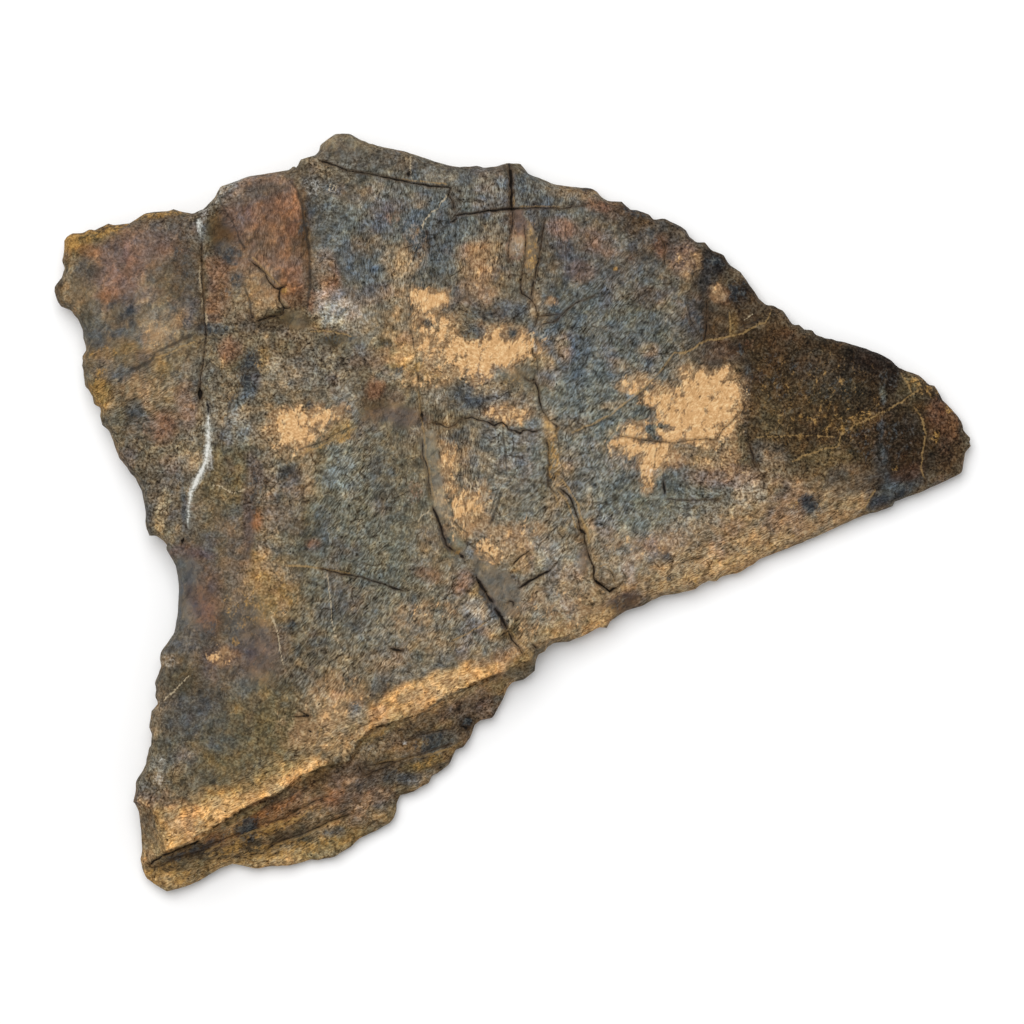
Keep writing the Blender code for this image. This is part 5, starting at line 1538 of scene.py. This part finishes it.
def fossil_bone():
    """Mineral-stained fossil bone, as dug up and cleaned: dull, rough and fibrous, dark where
    iron and manganese soaked in, tan where the skin is worn, with grit in its pores, and with
    painted shade on some edges and hollows and a few painted highlights in its painted colour."""
    material = bpy.data.materials.new("mineral_stained_fossil_bone")
    material.use_nodes = True
    tree = material.node_tree
    tree.nodes.clear()
    place = add(tree, "TexCoord")["Object"]
    painted = {name: add(tree, "Attribute", attribute_name=name) for name in
               ("stain_and_painted_light", "fibres", "grain", "rust", "ochre", "dark", "tan", "chalk", "fill",
                "crack", "dark line", "seam", "scratch", "lime")}
    grain = painted["grain"]["Fac"]

    # fibres curl a little: their places are pushed about by a smooth noise
    curl = add(tree, "TexNoise", {"Vector": place, "Scale": 1.0 / SWIRL_SIZE, "Detail": 1.0})
    curl = add(tree, "VectorMath", {0: curl["Color"], 1: (0.5, 0.5, 0.5)}, operation="SUBTRACT")[0]
    curled = add(tree, "VectorMath", {0: curl, 1: (2.0 * SWIRL_REACH,) * 3, 2: place}, **SCALED_SUM)[0]
    fleck = add(tree, "TexNoise", {"Vector": curled, "Scale": 0.6 / FIBRE_WIDE, "Detail": 2.0,
                                   "Roughness": 0.6})[0]
    weights = add(tree, "SeparateColor", {"Color": painted["fibres"]["Color"]})
    for number, direction in enumerate(FIBRE_DIRECTIONS):
        turned = add(tree, "Mapping", {
            "Vector": curled, "Rotation": (0.0, 0.0, np.radians(direction)),
            "Scale": (FIBRE_LONG, FIBRE_WIDE, FIBRE_WIDE)}, **STRETCHED)
        streak = add(tree, "TexNoise", {"Vector": turned[0], "Scale": 1.0, "Detail": 2.0,
                                        "Roughness": 0.65})[0]
        fleck = add(tree, "Mix", {0: weights[number], 2: fleck, 3: streak})[0]
    lump = add(tree, "TexNoise", {"Vector": place, "Scale": 1.0 / LUMP_SIZE, "Detail": 3.0,
                                  "Roughness": 0.65})[0]
    level = add(tree, "Mix", {0: LUMP_SHARE, 2: fleck, 3: lump})[0]
    light = add(tree, "MapRange", {"Value": level, **LIGHT, "To Max": grain})[0]
    pore = add(tree, "MapRange", {"Value": level, **PORES, "To Max": grain})[0]

    # thin light threads, thick in some places and missing in others
    off_middle = add(tree, "Math", {0: fleck, 1: THREAD_LEVEL}, operation="SUBTRACT")[0]
    off_middle = add(tree, "Math", {0: off_middle}, operation="ABSOLUTE")[0]
    amount = add(tree, "MapRange", {"Value": lump, **THREAD_PLACES, "To Max": grain})[0]
    thread = add(tree, "MapRange", {"Value": off_middle, **THREADS, "To Max": amount}, **SOFT_ENDS)[0]
    light = add(tree, "Math", {0: thread, 1: THREAD_STRENGTH, 2: light}, **SCALED_SUM, use_clamp=True)[0]

    # scattered pits, and grains of pale grit
    cell = add(tree, "TexVoronoi", {"Vector": curled, "Scale": 1.0 / PIT_SPACING})
    chance = add(tree, "SeparateColor", {"Color": cell["Color"]})
    specks = []
    for number, (rare, widest) in enumerate((PITS, GRIT)):
        size = add(tree, "MapRange", {"Value": chance[number], "From Min": rare, "To Max": widest})[0]
        inside = add(tree, "Math", {0: size, 1: cell["Distance"]}, operation="SUBTRACT")
        specks.append(add(tree, "MapRange", {"Value": inside[0], "From Max": SPECK_EDGE,
                                             "To Max": grain})[0])
    pore = add(tree, "Math", {0: pore, 1: specks[0]}, operation="MAXIMUM")[0]
    light = add(tree, "Math", {0: light, 1: specks[1]}, operation="MAXIMUM")[0]

    # the stained bone with its painted shade and painted highlights, in crisp patches, with dark
    # pores, light threads and hairline cracks
    colour = painted["stain_and_painted_light"]["Color"]
    for number, (long, wide, start, full, strength, shade) in enumerate(PATCHES):
        moved = add(tree, "Mapping", {"Vector": curled, "Location": (0.0, 0.0, PATCH_SHIFT * number),
                                      "Rotation": (0.0, 0.0, np.radians(PATCH_TURN)),
                                      "Scale": (long * MM, wide * MM, wide * MM)}, **STRETCHED)
        patch = add(tree, "TexNoise", {"Vector": moved[0], "Scale": 1.0, "Detail": 4.0,
                                       "Roughness": 0.62})[0]
        share = add(tree, "MapRange", {"Value": patch, "From Min": start, "From Max": full,
                                       "To Max": strength}, **SOFT_ENDS)[0]
        colour = add(tree, "Mix", {0: share, 6: colour, 7: (*shade, 1.0)}, **MULTIPLIED)[2]
        if number == 0:
            hairline_share = add(tree, "MapRange", {"Value": patch, **HAIRLINE_PLACES,
                                                    "To Max": grain})[0]
    warmth = add(tree, "TexNoise", {"Vector": curled, "Scale": 1.0 / CLOUD_SIZE, "Detail": 2.0,
                                    "Roughness": 0.6})["Color"]
    warmth = add(tree, "SeparateColor", {"Color": warmth})[1]
    warmth = add(tree, "MapRange", {"Value": warmth, **CLOUDS})[0]
    warmth = add(tree, "Mix", {0: warmth, 6: COOL_CLOUD, 7: WARM_CLOUD}, **MIXED)[2]
    plain_bone = add(tree, "Mix", {0: 1.0, 6: colour, 7: warmth}, **MULTIPLIED)[2]
    pores, worn = [add(tree, "Mix", {0: 1.0, 6: plain_bone, 7: shade}, **MULTIPLIED)[2]
                   for shade in (PORE_SHADE, WORN_SHADE)]
    worn = add(tree, "Mix", {0: DUST_SHARE, 6: worn, 7: (*linear(DUST), 1.0)}, **MIXED)[2]
    colour = add(tree, "Mix", {0: light, 6: plain_bone, 7: worn}, **MIXED)[2]
    colour = add(tree, "Mix", {0: pore, 6: colour, 7: pores}, **MIXED)[2]
    bent = add(tree, "TexNoise", {"Vector": place, "Scale": 1.0 / HAIRLINE_WIDE, "Detail": 3.0})["Color"]
    bent = add(tree, "VectorMath", {0: bent, 1: (2.0 * HAIRLINE_BEND,) * 3, 2: place}, **SCALED_SUM)[0]
    bent = add(tree, "Mapping", {"Vector": bent, "Rotation": (0.0, 0.0, np.radians(PATCH_TURN)),
                                 "Scale": (HAIRLINE_LONG, HAIRLINE_WIDE, HAIRLINE_WIDE)},
               **STRETCHED)[0]
    edge = add(tree, "TexVoronoi", {"Vector": bent, "Scale": 1.0}, feature="DISTANCE_TO_EDGE")["Distance"]
    hairline = add(tree, "MapRange", {"Value": edge, **HAIRLINES, "To Max": hairline_share})[0]
    colour = add(tree, "Mix", {0: hairline, 6: colour, 7: HAIRLINE_SHADE}, **MULTIPLIED)[2]
    smooth = add(tree, "MapRange", {"Value": painted["fill"]["Fac"], **FILLED})[0]
    colour = add(tree, "Mix", {0: smooth, 6: colour, 7: plain_bone}, **MIXED)[2]

    # mineral layers with ragged edges, light and dark as the bone under them is; the dark layer
    # also carries painted shade
    for number, (name, long, wide, gain, inset, soft, strength, *tones) in enumerate(MINERALS):
        ragged = add(tree, "Mapping", {"Vector": curled, "Location": (MINERAL_SHIFT * number, 0.0, 0.0),
                                       "Rotation": (0.0, 0.0, np.radians(MINERAL_TURN)),
                                       "Scale": (long * MM, wide * MM, wide * MM)}, **STRETCHED)
        noise = add(tree, "TexNoise", {"Vector": ragged[0], "Scale": 1.0, "Detail": 4.0,
                                       "Roughness": 0.68})[0]
        amount = painted[name]["Fac"]
        edge = add(tree, "Math", {0: noise, 1: gain, 2: amount}, **SCALED_SUM)[0]
        edge = add(tree, "Math", {0: level, 1: LACE, 2: edge}, **SCALED_SUM)[0]
        middle = 0.5 + (gain + LACE) * 0.5 + inset
        most = add(tree, "MapRange", {"Value": amount, **MINERAL_PLACES, "To Max": strength})[0]
        share = add(tree, "MapRange", {"Value": edge, "From Min": middle - soft,
                                       "From Max": middle + soft, "To Max": most}, **SOFT_ENDS)[0]
        dark, plain, pale = [(*linear(tone), 1.0) for tone in tones]
        tone = add(tree, "Mix", {0: light, 6: plain, 7: pale}, **MIXED)[2]
        tone = add(tree, "Mix", {0: pore, 6: tone, 7: dark}, **MIXED)[2]
        colour = add(tree, "Mix", {0: share, 6: colour, 7: tone}, **MIXED)[2]

    # drawn lines, frayed along the fibres
    uneven = add(tree, "Math", {0: fleck, 1: LINE_FRAYING, 2: -LINE_FRAYING / 2}, **SCALED_SUM)[0]
    for name, start, full, strength, tone in DRAWN_LINES:
        value = add(tree, "Math", {0: painted[name]["Fac"], 1: uneven})[0]
        share = add(tree, "MapRange", {"Value": value, "From Min": start, "From Max": full,
                                       "To Max": strength}, **SOFT_ENDS)[0]
        colour = add(tree, "Mix", {0: share, 6: colour, 7: (*linear(tone), 1.0)}, **MIXED)[2]

    # a dull surface, rougher in its low places, with the fibres and hairlines as fine relief
    rough = add(tree, "MapRange", {"Value": fleck, **ROUGHNESS})[0]
    height = add(tree, "Mix", {0: smooth, 2: fleck, 3: 0.5})[0]
    height = add(tree, "Math", {0: hairline, 1: -HAIRLINE_DEPTH, 2: height}, **SCALED_SUM)[0]
    bump = add(tree, "Bump", {"Height": height, "Strength": 0.8, "Distance": BUMP_HEIGHT})
    skin_shader = add(tree, "BsdfPrincipled", {"Base Color": colour, "Roughness": rough,
                                               "Normal": bump[0], "IOR": 1.5,
                                               "Specular IOR Level": 0.12})
    add(tree, "OutputMaterial", {"Surface": skin_shader[0]})
    return material


frill = bpy.data.objects.new("fossil_frill", frill_mesh())
bpy.context.scene.collection.objects.link(frill)
frill.data.materials.append(fossil_bone())
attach(frill, "root")
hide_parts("frill")

# Plain pale floor
FLOOR_HALF = 6.0
floor_mesh = bpy.data.meshes.new("floor")
floor_mesh.from_pydata([(-FLOOR_HALF, -FLOOR_HALF, 0), (FLOOR_HALF, -FLOOR_HALF, 0),
                        (FLOOR_HALF, FLOOR_HALF, 0), (-FLOOR_HALF, FLOOR_HALF, 0)],
                       [], [(0, 1, 2, 3)])
floor = bpy.data.objects.new("floor", floor_mesh)
bpy.context.scene.collection.objects.link(floor)
paper = bpy.data.materials.new("matt_white_board")
paper.use_nodes = True
paper_shader = paper.node_tree.nodes["Principled BSDF"]
paper_shader.inputs["Base Color"].default_value = (0.92, 0.92, 0.92, 1.0)
paper_shader.inputs["Roughness"].default_value = 0.9
floor_mesh.materials.append(paper)

# Soft studio light: an even white room, and one large soft light from the top of the picture
scene = bpy.context.scene
scene.view_settings.view_transform = "Standard"
scene.world = bpy.data.worlds.new("white_room")
scene.world.use_nodes = True
room = scene.world.node_tree.nodes["Background"]
room.inputs["Color"].default_value = (1.0, 1.0, 1.0, 1.0)
room.inputs["Strength"].default_value = 0.56
soft_light = bpy.data.lights.new("soft_light", "AREA")
soft_light.shape = "SQUARE"
soft_light.size = 3.0
soft_light.energy = 112.0
lamp = bpy.data.objects.new("soft_light", soft_light)
lamp.location = (-0.7, 1.5, 3.2)
lamp.rotation_euler = (-lamp.location).to_track_quat("-Z", "Y").to_euler()
scene.collection.objects.link(lamp)

# The camera looks straight down, from far off, at the middle of the picture
CAMERA_LENS = 200.0
SENSOR = 36.0
SIGHT_HEIGHT = 22.0 * MM
middle = to_metres([[PICTURE_WIDTH / 2, PICTURE_WIDTH / 2]])[0]
distance = PICTURE_WIDTH * PIXEL * CAMERA_LENS / SENSOR
camera_data = bpy.data.cameras.new("camera")
camera_data.lens = CAMERA_LENS
camera_data.sensor_width = SENSOR
camera_data.clip_end = 50.0
camera = bpy.data.objects.new("camera", camera_data)
camera.location = (middle[0], middle[1], SIGHT_HEIGHT + distance)
scene.collection.objects.link(camera)
scene.camera = camera
